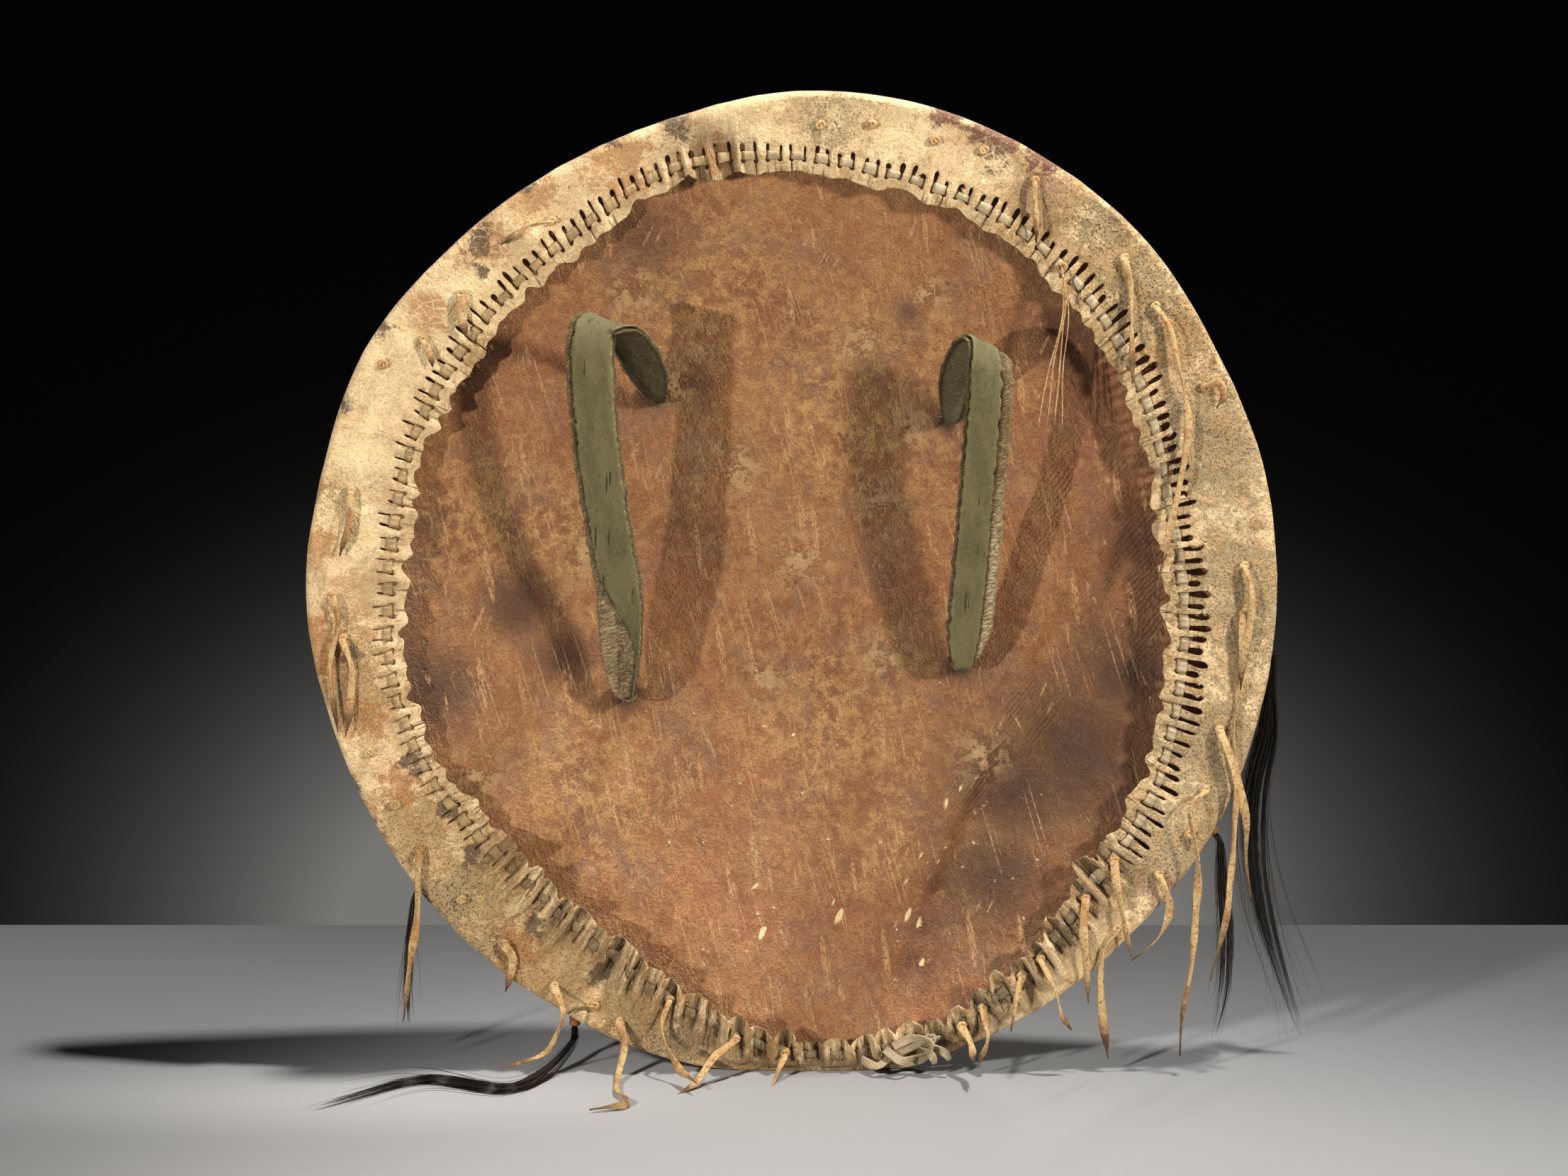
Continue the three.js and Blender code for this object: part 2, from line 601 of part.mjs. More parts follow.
// Ties: each has a knot behind the flange, a round-fitting stem through its hole and a tail.
// Places are [angle in degrees, share of the rim], and a path runs [to the right, up, out] from
// the hole in units of tieLength. A tie with a stitch is knotted round the thong there instead.
const tiePlans = [
  {
    name: "tie_top_right",
    placeShares: [59.6, 0.952],
    pathShares: [
      [0, -0.12, 0], [0.01, -0.32, 0],
    ],
  },
  {
    name: "tie_upper_right_short",
    placeShares: [45.4, 0.945],
    pathShares: [
      [0.03, -0.17, 0], [0.05, -0.42, 0], [0.05, -0.65, 0],
    ],
  },
  {
    name: "tie_upper_right_long",
    placeShares: [38.4, 0.936],
    pathShares: [
      [0.08, -0.13, 0.02], [0.15, -0.41, 0.02], [0.17, -0.61, 0.02], [0.14, -0.93, 0.02],
      [0.07, -1.25, 0.02], [-0.01, -1.64, 0.02],
    ],
  },
  {
    name: "tie_right_curl",
    placeShares: [26.6, 0.947],
    pathShares: [
      [0.06, 0.03, 0.02], [0.09, -0.04, 0.03], [0.05, -0.1, 0.02],
    ],
  },
  {
    name: "tie_right_upper",
    placeShares: [3.7, 0.931],
    pathShares: [
      [0.03, -0.1, 0.02], [0.03, -0.27, 0.02], [0, -0.51, 0.02], [-0.01, -0.65, 0.02],
    ],
  },
  {
    name: "tie_right_lower",
    placeShares: [357.7, 0.931],
    pathShares: [
      [-0.01, -0.26, 0], [-0.04, -0.61, 0], [-0.02, -0.87, 0], [0.03, -1.12, 0], [0.04, -1.33, 0],
      [0.07, -1.54, 0],
    ],
  },
  {
    name: "tie_lower_right_a",
    placeShares: [342.6, 0.925],
    pathShares: [
      [0.09, -0.3, 0.05], [0.09, -0.47, 0.05], [0.06, -0.79, 0.05], [0.05, -1, 0.05],
      [-0.03, -1.34, 0.05],
    ],
  },
  {
    name: "tie_lower_right_b",
    placeShares: [334.9, 0.943],
    pathShares: [
      [-0.06, -0.04, 0.04], [-0.09, -0.1, 0.07], [-0.05, -0.35, 0.07], [-0.04, -0.59, 0.07],
      [-0.07, -0.9, 0.07], [-0.11, -1.18, 0.07], [-0.12, -1.42, 0.07],
    ],
  },
  {
    name: "tie_lower_right_stub",
    placeShares: [329, 0.956],
    pathShares: [
      [0.03, -0.02, 0.01], [0.04, -0.06, 0.02],
    ],
  },
  {
    name: "tie_lower_right_c",
    placeShares: [322.8, 0.954],
    pathShares: [
      [0.06, -0.16, 0.01], [0, -0.33, 0.01], [-0.14, -0.46, 0.01],
    ],
  },
  {
    name: "tie_lower_right_d",
    placeShares: [314.3, 0.968],
    pathShares: [
      [-0.08, -0.11, 0], [-0.07, -0.44, 0], [-0.04, -0.7, 0],
    ],
  },
  {
    name: "tie_bottom_left_long",
    placeShares: [247.9, 0.953],
    pathShares: [
      [0.02, -0.14, 0.02], [0, -0.255, 0.14], [0, -0.265, 0.4], [0.06, -0.265, 0.6],
      [-0.13, -0.265, 0.7],
    ],
  },
  {
    name: "tie_bottom_left_side",
    placeShares: [244.3, 0.953],
    pathShares: [
      [-0.06, 0.01, 0.01], [-0.14, -0.03, 0.01],
    ],
  },
  {
    name: "tie_lower_left_trailing",
    placeShares: [238.6, 0.957],
    pathShares: [
      [0.05, -0.11, 0.1], [0.02, -0.24, 0.07], [-0.03, -0.33, 0.08], [-0.13, -0.35, 0.18],
      [-0.25, -0.35, 0.3],
    ],
  },
  {
    name: "tie_lower_left_short",
    placeShares: [230.3, 0.947],
    pathShares: [
      [0.05, -0.07, 0.01], [0.03, -0.19, 0.01], [0.01, -0.26, 0.01],
    ],
  },
  {
    name: "tie_left_long",
    placeShares: [214.3, 0.947],
    pathShares: [
      [-0.03, -0.45, 0], [-0.07, -0.74, 0], [-0.1, -0.93, 0],
    ],
  },
  {
    name: "tie_left_middle",
    placeShares: [185.5, 0.932],
    pathShares: [
      [0.05, -0.16, 0], [0.04, -0.36, 0], [0.01, -0.52, 0],
    ],
  },
  {
    name: "tie_left_joined",
    placeShares: [180.1, 0.944],
    pathShares: [
      [0.02, -0.14, 0], [-0.01, -0.3, 0.01], [0, -0.52, 0.01], [0.02, -0.72, 0.01],
    ],
  },
  {
    name: "tie_left_upper",
    placeShares: [166.7, 0.933],
    pathShares: [
      [-0.01, -0.14, 0], [-0.06, -0.34, 0],
    ],
  },
  {
    name: "tie_upper_left_a",
    placeShares: [145.3, 0.913],
    pathShares: [
      [0.03, -0.07, 0], [0.05, -0.14, 0],
    ],
  },
  {
    name: "tie_upper_left_b",
    placeShares: [137.7, 0.916],
    pathShares: [
      [0, -0.11, 0], [0.02, -0.22, 0],
    ],
  },
  {
    name: "tie_top_left",
    placeShares: [122.8, 0.915],
    pathShares: [
      [-0.1, -0.02, 0.01], [-0.26, -0.12, 0.01],
    ],
  },
  {
    name: "lace_tie_right_a",
    stitchShare: 0.892,
    pathShares: [
      [0.02, -0.2, 0.02], [0.1, -0.52, 0.02],
    ],
  },
  {
    name: "lace_tie_right_b",
    stitchShare: 0.874,
    pathShares: [
      [-0.01, -0.2, 0.02], [0.02, -0.56, 0.02],
    ],
  },
  {
    name: "lace_tie_right_c",
    stitchShare: 0.848,
    pathShares: [
      [0.07, -0.14, 0.03], [0.11, -0.29, 0.03], [0.17, -0.38, 0.03],
    ],
  },
  {
    name: "lace_tie_bottom_right_a",
    stitchShare: 0.836,
    pathShares: [
      [-0.04, -0.12, 0.04], [-0.06, -0.29, 0.04],
    ],
  },
  {
    name: "lace_tie_bottom_right_b",
    stitchShare: 0.822,
    pathShares: [
      [0.02, -0.14, 0.06], [-0.02, -0.28, 0.06],
    ],
  },
  {
    name: "lace_tie_bottom_right_c",
    stitchShare: 0.812,
    pathShares: [
      [0.04, -0.06, 0.1], [0.05, -0.1, 0.3],
    ],
  },
  {
    name: "lace_tie_bottom_a",
    stitchShare: 0.751,
    pathShares: [
      [-0.07, -0.12, 0.18], [-0.17, -0.15, 0.4],
    ],
  },
  {
    name: "lace_tie_bottom_b",
    stitchShare: 0.731,
    pathShares: [
      [-0.1, -0.06, 0.1], [-0.2, -0.17, 0.2], [-0.3, -0.21, 0.3],
    ],
  },
  {
    name: "sinew_strands",
    stitchShare: 0.139,
    widthShare: 0.35,
    pathShares: [
      [0.02, -0.2, 0.02], [-0.02, -0.5, 0.02], [-0.05, -0.83, 0.02],
    ],
  },
  {
    name: "lace_tie_bottom_left",
    stitchShare: 0.706,
    pathShares: [
      [-0.04, -0.14, 0.06], [0.04, -0.3, 0.2], [0.15, -0.33, 0.4],
    ],
  },
];

// Plain knots without a tail, as [angle in degrees, share of the rim].
const knotPlaceShares = [
  [86.5, 0.935], [80.4, 0.944], [72.5, 0.941], [66.6, 0.958],
  [222.5, 0.939], [207.8, 0.941], [200.4, 0.944], [150.6, 0.953],
];
const bareHoleShares = [[52.6, 0.965], [118.6, 0.955], [112.6, 0.968], [101.5, 0.975], [94.1, 0.972]];

function placeOf([angle, share]) {
  const turn = wrap(angle / 360);
  return fromRim(turn, (1 - share) * rimReach(turn), 0);
}

const coverUncut = new THREE.Mesh(coverBlank(), new THREE.MeshBasicMaterial({ side: THREE.DoubleSide }));

// The outer and inner face of the flange where a line from the back meets it.
function flangeAt(x, z) {
  const ray = new THREE.Raycaster(new THREE.Vector3(x, -halfWidth, z), new THREE.Vector3(0, 1, 0));
  const [outer, inner] = ray.intersectObject(coverUncut);
  return { outer: outer.point.y, inner: inner.point.y };
}

function knotRings(face) {
  const behind = face.inner + seatGap;
  const front = face.outer - seatGap;
  return [
    { y: behind + knotThickness, size: stemSize },
    { y: behind + knotThickness / 2, size: knotSize },
    { y: behind, size: stemSize },
    { y: front, size: stemSize },
  ];
}

function tailOf(head, shares, unit) {
  const points = shares.map((place) => offsetFrom(head, place, unit));
  const steps = Math.max(leastTailSteps, points.length + 1);
  return new THREE.CatmullRomCurve3([head, ...points]).getPoints(steps).slice(1);
}

// Where a tie leaves the cover or the thong, with the rings of its knot and stem down to there.
function rootOf(plan) {
  if (plan.placeShares) {
    const { x, z } = placeOf(plan.placeShares);
    const rings = knotRings(flangeAt(x, z));
    return { x, z, rings };
  }
  const slit = 2 * Math.round(plan.stitchShare * stitches) - besideSlit;
  const { x, y, z } = onFlange(slit, laceAt(slit / slits));
  const front = y - laceGap - laceThickness - seatGap;
  return { x, z, rings: [{ y: front, size: stemSize }] };
}

function tie(plan) {
  const { x, z, rings } = rootOf(plan);
  const front = rings.at(-1).y;
  const head = new THREE.Vector3(x, front - knotThickness / 2 - tieLift, z - tieThickness / 2);
  const tail = tailOf(head, plan.pathShares, tieLength);
  const width = tieWidth * (plan.widthShare ?? 1);
  const sections = [
    ...rings.map((ring) => slab(ring.size, ring.size)),
    slab(knotSize, knotThickness),
    ...tail.slice(1).map(() => slab(width, tieThickness)),
    slab(tieTip, tieTip / 2),
  ];
  const path = [...rings.map((ring) => new THREE.Vector3(x, ring.y, z)), head, ...tail];
  return strip(path, sections, new THREE.Vector3(1, 0, 0));
}

function plainKnot(placeShares) {
  const { x, z } = placeOf(placeShares);
  const face = flangeAt(x, z);
  const front = face.outer - seatGap;
  const rings = [
    ...knotRings(face),
    { y: front - knotThickness / 2, size: knotSize },
    { y: front - knotThickness, size: stemSize },
  ];
  return strip(
    rings.map((ring) => new THREE.Vector3(x, ring.y, z)),
    rings.map((ring) => slab(ring.size, ring.size)),
    new THREE.Vector3(1, 0, 0),
  );
}

// Horsehair: a binding passes through the cover's front and the disc and is knotted behind it.
const hairPlans = [
  {
    name: "lower_left",
    placeShares: [217.3, 0.972],
    bindingShares: [[-0.02, -0.05, -0.03], [-0.05, -0.12, -0.04]],
    hairShares: [[-0.09, -0.3, -0.04], [-0.11, -0.62, -0.04], [-0.11, -0.9, -0.04]],
    thickShare: 0.7,
  },
  {
    name: "bottom_left",
    placeShares: [241.5, 0.972],
    bindingShares: [[0.01, -0.06, -0.03], [0.01, -0.18, -0.03]],
    hairShares: [
      [-0.02, -0.27, 0.08], [-0.15, -0.33, 0.36], [-0.31, -0.345, 0.58], [-0.76, -0.35, 0.4],
      [-1.1, -0.35, 0.7], [-1.33, -0.355, 0.95],
    ],
    thickShare: 1,
  },
  {
    name: "right",
    placeShares: [356.5, 0.97],
    bindingShares: [[0.02, -0.06, -0.05], [0.06, -0.15, -0.07]],
    hairShares: [
      [0.08, -0.35, -0.12], [0.07, -0.66, -0.14], [0.01, -0.94, -0.14], [0, -1.25, -0.14],
      [0.05, -1.6, -0.14], [0.15, -1.94, -0.14], [0.27, -2.28, -0.14], [0.32, -2.38, -0.14],
    ],
    thickShare: 1.3,
  },
  {
    name: "lower_right",
    placeShares: [331.8, 0.975],
    bindingShares: [[0.02, -0.06, -0.05], [0.06, -0.13, -0.07]],
    hairShares: [
      [0.11, -0.4, -0.12], [0.14, -0.7, -0.12], [0.13, -1.05, -0.12], [0.08, -1.29, -0.12],
    ],
    thickShare: 0.9,
  },
];

function frontAt(x, z) {
  const ray = new THREE.Raycaster(new THREE.Vector3(x, halfWidth, z), new THREE.Vector3(0, -1, 0));
  return ray.intersectObject(coverUncut)[0].point.y;
}

function hairLock(plan) {
  const { x, z } = placeOf(plan.placeShares);
  const share = plan.placeShares[1];
  const front = frontAt(x, z) + seatGap;
  const behind = dishBack(share) - seatGap;
  const head = new THREE.Vector3(x, front + bindingSize / 2, z);
  const binding = tailOf(head, plan.bindingShares, hairLength);
  const path = [
    new THREE.Vector3(x, behind - knotThickness, z),
    new THREE.Vector3(x, behind - knotThickness / 2, z),
    new THREE.Vector3(x, behind, z),
    new THREE.Vector3(x, front, z),
    head,
    ...binding,
  ];
  const thick = bindingSize * plan.thickShare;
  const sizes = [stemSize, knotSize, stemSize, stemSize, knotSize, ...binding.map(() => thick)];
  const across = new THREE.Vector3(-1, 0, 0);
  const sections = sizes.map((size) => slab(size, size));
  addPiece("hair_binding_" + plan.name, strip(path, sections, across), materials.binding);
  const end = binding.at(-1);
  const onward = new THREE.Vector3().subVectors(end, binding.at(-2)).normalize();
  const start = end.clone().addScaledVector(onward, seatGap);
  const neck = start.clone().addScaledVector(onward, hairSize);
  const points = plan.hairShares.map((place) => offsetFrom(head, place, hairLength));
  const curve = new THREE.CatmullRomCurve3([neck, ...points]);
  const hairPath = [start, ...curve.getPoints(2 * points.length)];
  const hairSections = hairPath.map((_, i) => {
    const along = i / (hairPath.length - 1);
    const size = THREE.MathUtils.lerp(hairSize * plan.thickShare, hairTip, along ** 2);
    return slab(size, size);
  });
  addPiece("hair_lock_" + plan.name, strip(hairPath, hairSections, across), materials.hair);
}

// Assembly

const frames = {};
const slots = [];
for (const [name, plan] of Object.entries(strapPlans)) {
  const frame = strapFrame(plan);
  frames[name] = frame;
  slots.push(strapSlot(frame, frame.lower), strapSlot(frame, frame.upper));
  strapLoop(name, plan, frame);
  addPiece(name + "_strap_root_lower", strapRoot(frame, frame.lower, -1), materials.strapHide);
  addPiece(name + "_strap_root_upper", strapRoot(frame, frame.upper, 1), materials.strapHide);
}

const stemHole = ([angle, share]) => {
  const { x, z } = placeOf([angle, share]);
  const face = flangeAt(x, z);
  return holeAt(x, z, stemHoleRadius, face.outer - cutOverrun, face.inner + cutOverrun);
};
const hairHole = ({ placeShares }) => {
  const { x, z } = placeOf(placeShares);
  return holeAt(x, z, stemHoleRadius, dishBack(1) - seatGap, dishDepth);
};

const [centreX, centreZ] = centreHolePlaceShares;
const discCuts = [
  ...slots,
  holeAt(centreX * halfWidth, centreZ * halfHeight, centreHoleRadius, -dishDepth, dishDepth),
  ...hairPlans.map(hairHole),
];
const disc = discCuts.reduce((solid, cut) => solid.subtract(toSolid(cut)), toSolid(rawhideBlank()));
addPiece("rawhide_disc", toGeometry(disc), materials.rawhide);

const slitCuts = Array.from({ length: slits }, (_, slit) => lacingSlit(slit));
const tieHoles = tiePlans.filter((plan) => plan.placeShares).map((plan) => stemHole(plan.placeShares));
const knotHoles = [...knotPlaceShares, ...bareHoleShares].map(stemHole);
const coverCuts = mergeGeometries([...slitCuts, ...tieHoles, ...knotHoles, ...hairPlans.map(hairHole)]);
const cover = toSolid(coverUncut.geometry).subtract(toSolid(coverCuts));
addPiece("hide_cover", toGeometry(cover), materials.cover);

addPiece("lacing_thong", loft(lacePath()), materials.thong);
addPiece("lacing_knot", lacingKnot(), materials.thong);
for (const plan of tiePlans) {
  const material = plan.name === "sinew_strands" ? materials.sinew : materials.tie;
  addPiece(plan.name, tie(plan), material);
}
knotPlaceShares.forEach((place, i) => {
  addPiece("rim_knot_" + (i + 1), plainKnot(place), materials.tie);
});
for (const plan of hairPlans) hairLock(plan);

export default shield;
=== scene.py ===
"""Painted hide shield, seen from the side that its bearer sees.

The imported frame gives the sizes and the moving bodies. This file makes the hide, the lacing, the
straps, the ties and the hair round it, with their materials, and the stage they stand on.
"""

import json
import math

import bpy
import numpy as np
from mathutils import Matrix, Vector

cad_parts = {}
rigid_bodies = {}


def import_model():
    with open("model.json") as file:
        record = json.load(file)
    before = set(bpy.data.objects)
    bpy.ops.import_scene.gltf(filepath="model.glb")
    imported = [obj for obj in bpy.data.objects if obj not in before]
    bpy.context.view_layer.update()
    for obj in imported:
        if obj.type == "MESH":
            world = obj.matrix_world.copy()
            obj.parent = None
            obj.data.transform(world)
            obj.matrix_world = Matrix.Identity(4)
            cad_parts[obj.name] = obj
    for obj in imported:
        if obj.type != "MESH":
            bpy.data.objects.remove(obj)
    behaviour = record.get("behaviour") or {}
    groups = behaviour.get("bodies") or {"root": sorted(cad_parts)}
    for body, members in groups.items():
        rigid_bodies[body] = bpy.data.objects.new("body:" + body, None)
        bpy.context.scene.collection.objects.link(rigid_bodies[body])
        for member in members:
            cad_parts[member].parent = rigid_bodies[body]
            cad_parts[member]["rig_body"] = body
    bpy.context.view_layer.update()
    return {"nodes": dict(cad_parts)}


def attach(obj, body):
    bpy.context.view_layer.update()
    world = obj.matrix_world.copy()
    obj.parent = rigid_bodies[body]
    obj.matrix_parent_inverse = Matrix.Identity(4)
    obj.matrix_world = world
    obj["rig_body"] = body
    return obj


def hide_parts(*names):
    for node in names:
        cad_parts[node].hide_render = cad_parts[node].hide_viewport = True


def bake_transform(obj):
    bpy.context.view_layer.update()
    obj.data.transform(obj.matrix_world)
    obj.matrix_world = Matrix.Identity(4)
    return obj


bl_info = {
    "name": "Painted hide shield",
    "version": (1, 0, 0),
    "blender": (4, 5, 0),
    "location": "View3D > Sidebar > Shield",
    "description": "Makes the hide, lacing, straps, ties, hair and stage of a painted hide shield",
    "category": "Object",
}

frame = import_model()
MM = 0.001

# The sizes that the frame was made with, in metres.
HALF_WIDTH = 0.254
HALF_HEIGHT = 0.2585
FOOT_DROP = 0.257
DISH_DEPTH = 0.032
RAWHIDE_THICKNESS = 0.007
COVER_THICKNESS = 0.0016
COVER_SLACK = 0.0056
COVER_SEAT = 0.0008
RIM_CLEARANCE = 0.0016
FLANGE_GAP = 0.0024
FLANGE_START = 0.0035
FLANGE_DIP = 0.003
GATHER_SWELL = 0.005
PLEAT_HEIGHT = 0.0034
RISE_RUN = 0.005
STITCHES = 112
SLITS = 2 * STITCHES
LACE_WIDTH = 0.005
LACE_THICKNESS = 0.0013
LACE_FROM_EDGE = 0.009
LACE_GAP = 0.0004
SLIT_LENGTH = 0.010
SLIT_MARGIN = 0.0012
BAND_MARGIN = 0.002
AXIS_HEIGHT = 0.004
SEAT_GAP = 0.00035
TIE_LIFT = 0.00295

RIM_SHARES = (
    0.997, 0.9985, 0.996, 1.012, 1.016, 1.017, 1.008, 0.985, 0.98, 0.9845, 1, 0.992,
    0.9985, 0.988, 0.9855, 0.991, 0.993, 1.005, 1.0015, 1.013, 1.009, 1.001, 1.004, 0.9985,
)
OPENING_SHARES = (
    0.77, 0.76, 0.791, 0.816, 0.836, 0.835, 0.848, 0.857, 0.82, 0.802, 0.801, 0.793,
    0.794, 0.806, 0.797, 0.776, 0.795, 0.85, 0.918, 0.938, 0.893, 0.838, 0.821, 0.79,
)
SLIT_LENGTH_SHARES = (1.4, 1.1, 0.95, 0.9, 0.8, 0.7, 0.8, 1.1, 1.4)
SLIT_WIDTH_SHARES = (1.3, 1.0, 0.85, 0.85, 0.35, 0.35, 0.4, 0.6, 1.3)
GATHER_SHARES = (0.62, 0.865)
PLEAT_SHARES = (0.9, -0.5, 0.6, -0.9, 1, -0.4, 0.3, -0.8, 0.8, -0.6, 1, -1, 0.5)
LACE_LIMIT_SHARE = 0.42
BAND_LIMIT_SHARE = 0.7

# Places round the ring and their widths, as shares of a turn.
TOP_GATHER_SHARES = (0.279, 0.017)
EVEN_EDGE_SHARES = (0.22, 0.12)
SHORT_SLIT_SHARES = (0.235, 0.075)
POINTED_FLAP_SHARES = (0.76, 0.05)
KNOT_SHARE = 0.788

# How far the puckers go on past the gathers, as a share of a turn, and how far the free edge
# comes in and goes out there.
PUCKER_END_SHARE = 0.022
FLAP_IN = 0.0018
FLAP_OUT = 0.0052


def linear(code):
    """The linear colour of an sRGB hex value."""
    values = [int(code[i : i + 2], 16) / 255 for i in (1, 3, 5)]
    return [v / 12.92 if v <= 0.04045 else ((v + 0.055) / 1.055) ** 2.4 for v in values]


def colour_property(name, code, text):
    return bpy.props.FloatVectorProperty(
        name=name, description=text, subtype="COLOR", size=3, min=0, max=1, default=linear(code)
    )


def length_property(name, default, text):
    return bpy.props.FloatProperty(
        name=name, description=text, subtype="DISTANCE", unit="LENGTH", min=0, default=default
    )


class ShieldColours(bpy.types.PropertyGroup):
    """Colours of the shield's hides, cloth and hair."""

    rawhide: colour_property("Rawhide", "#96643f", "Smoked rawhide, its middle tone")
    # Also the colour of the painted shade along the crease, in the strap's shadow and round the slits.
    rawhide_dark: colour_property("Dark rawhide", "#5f3b27", "Soiled and greasy rawhide")
    rawhide_pale: colour_property("Pale rawhide", "#b98a5c", "Worn rawhide and old scratches")
    cover: colour_property("Cover", "#e0c295", "Tanned hide of the cover")
    cover_shade: colour_property("Cover shade", "#a07c50", "Soiled grain of the cover")
    rust: colour_property("Rust stain", "#a86a2c", "Orange stains of the cover")
    soil: colour_property("Dark stain", "#4b3524", "Dark brown stains of the cover")
    red_paint: colour_property("Red pigment", "#5e241c", "Red-brown pigment of the front")
    green_paint: colour_property("Green pigment", "#2c3026", "Dark green pigment of the front")
    thong: colour_property("Thong", "#b5976b", "Lacing thong")
    tie: colour_property("Tie", "#d2b078", "Hide ties, where they are clean")
    tie_tip: colour_property("Tie tip", "#54341c", "Dried ends of the ties")
    cloth: colour_property("Strap cloth", "#767052", "Wool over the straps")
    cloth_worn: colour_property("Worn cloth", "#b2a47a", "Worn edges of the strap cloth")
    strap_hide: colour_property("Strap hide", "#8a6f4c", "Hide of the straps")
    hair: colour_property("Hair", "#110e0c", "Horsehair")
    binding: colour_property("Binding", "#a56a35", "Wrapped bindings of the hair")
    floor: colour_property("Floor", "#989694", "Table top")


class ShieldSizes(bpy.types.PropertyGroup):
    """Sizes of the detail that the frame leaves open."""

    slit_width: length_property("Slit width", 0.0029, "Widest part of a lacing slit")
    scallop: length_property("Scallops", 0.0014, "How far the free edge goes in and out")
    puff: length_property("Puffs", 0.0012, "How far the cover stands out over the hidden thong")
    pucker: length_property("Puckers", 0.0066, "How far the cover is bunched up at the gathers")
    tie_width: length_property("Tie width", 0.0046, "Width of a hide tie")
    tie_thickness: length_property("Tie thickness", 0.0013, "Thickness of a hide tie")
    strap_width: length_property("Strap width", 0.025, "Width of a forearm strap")
    hair_thickness: length_property("Hair thickness", 0.00027, "Thickness of a drawn hair")
    hairs: bpy.props.IntProperty(
        name="Hairs", description="Hairs in a lock of full thickness", min=20, max=900, default=210
    )


# Lines and surfaces


def waves(points, length, seed):
    """Smooth unevenness with bumps about one length across, mostly between -1 and 1."""
    count = 16
    random = np.random.default_rng(seed)
    ways = random.normal(size=(count, points.shape[1]))
    ways /= np.linalg.norm(ways, axis=1, keepdims=True)
    ways *= math.tau / length * random.uniform(0.6, 1.4, (count, 1))
    phases = random.uniform(0, math.tau, count)
    return np.sin(points @ ways.T + phases).sum(axis=1) / math.sqrt(count)


def ease(values):
    """0 below 0, 1 above 1, and smooth between."""
    kept = np.clip(values, 0, 1)
    return kept * kept * (3 - 2 * kept)


def closed_line(table, turns):
    """Points of the smooth closed line through a table of points."""
    count = len(table)
    place = np.mod(turns, 1) * count
    first = np.floor(place).astype(int)
    part = (place - first)[:, None]
    before, start, end, after = (table[(first + step) % count] for step in (-1, 0, 1, 2))
    leave = (end - before) / 2
    arrive = (after - start) / 2
    from_start = (2 * part**3 - 3 * part**2 + 1) * start + (part**3 - 2 * part**2 + part) * leave
    return from_start + (3 * part**2 - 2 * part**3) * end + (part**3 - part**2) * arrive


def open_line(points, step):
    """Evenly spaced points on the smooth line through the given ones."""
    points = np.asarray(points, float)
    ends = [2 * points[0] - points[1], *points, 2 * points[-1] - points[-2]]
    found = []
    for i in range(1, len(ends) - 2):
        p = ends[i - 1 : i + 3]
        gaps = [max(np.linalg.norm(b - a) ** 0.5, 1e-4) for a, b in zip(p, p[1:])]
        spans = [(b - a) / gap for a, b, gap in zip(p, p[1:], gaps)]
        leave = spans[0] - (p[2] - p[0]) / (gaps[0] + gaps[1]) + spans[1]
        arrive = spans[1] - (p[3] - p[1]) / (gaps[1] + gaps[2]) + spans[2]
        t = np.linspace(0, 1, 24, endpoint=False)[:, None]
        from_start = (2 * t**3 - 3 * t**2 + 1) * p[1] + (t**3 - 2 * t**2 + t) * leave * gaps[1]
        found.append(from_start + (3 * t**2 - 2 * t**3) * p[2] + (t**3 - t**2) * arrive * gaps[1])
    line = np.vstack([*found, points[-1:]])
    reach = run_of(line)
    places = np.linspace(0, reach[-1], max(3, round(reach[-1] / step) + 1))
    return np.column_stack([np.interp(places, reach, line[:, axis]) for axis in range(3)])


def run_of(line):
    """How far along a line each of its points lies, in metres."""
    return np.concatenate([[0], np.cumsum(np.linalg.norm(np.diff(line, axis=0), axis=1))])


def along_line(line):
    """How far along a line each of its points lies, from 0 to 1."""
    reach = run_of(line)
    return reach / reach[-1]


def wall(rings, sides, turned=False):
    """Faces between closed rings of corners. Turned ones face the other way."""
    corner = np.arange(sides)
    beside = (corner + 1) % sides
    faces = []
    for ring in range(rings - 1):
        low = ring * sides
        high = low + sides
        quads = [low + corner, low + beside, high + beside, high + corner]
        if turned:
            quads = [quads[0], *quads[:0:-1]]
        faces += np.column_stack(quads).tolist()
    return faces


def fan(middle, start, sides):
    """Faces from a middle corner to a ring of corners."""
    return [[middle, start + side, start + (side + 1) % sides] for side in range(sides)]


def sweep(line, sections, across):
    """A closed strip along a line. A section's corners lie across the strip and out of its face."""
    width = np.array(across, float)
    ahead = np.gradient(line, axis=0)
    ahead /= np.linalg.norm(ahead, axis=1, keepdims=True)
    rings = []
    for point, way, section in zip(line, ahead, sections):
        width = width - way * (width @ way)
        width = width / np.linalg.norm(width)
        face = np.cross(width, way)
        rings.append(point + section[:, :1] * width + section[:, 1:] * face)
    sides = len(sections[0])
    corner = np.arange(sides)
    faces = wall(len(rings), sides)
    faces.append(corner[::-1].tolist())
    faces.append(((len(rings) - 1) * sides + corner).tolist())
    return np.vstack(rings), faces


def oval(width, thickness, sides=10, curl=0.0, turn=0.0):
    """A flat oval section, curled up at its sides and turned about its middle."""
    angles = np.arange(sides) * math.tau / sides
    side = np.cos(angles) * width / 2
    out = np.sin(angles) * thickness / 2 + curl * (np.cos(angles) ** 2 - 0.5)
    section = np.column_stack([side, out])
    turned = np.array([[math.cos(turn), math.sin(turn)], [-math.sin(turn), math.cos(turn)]])
    return section @ turned


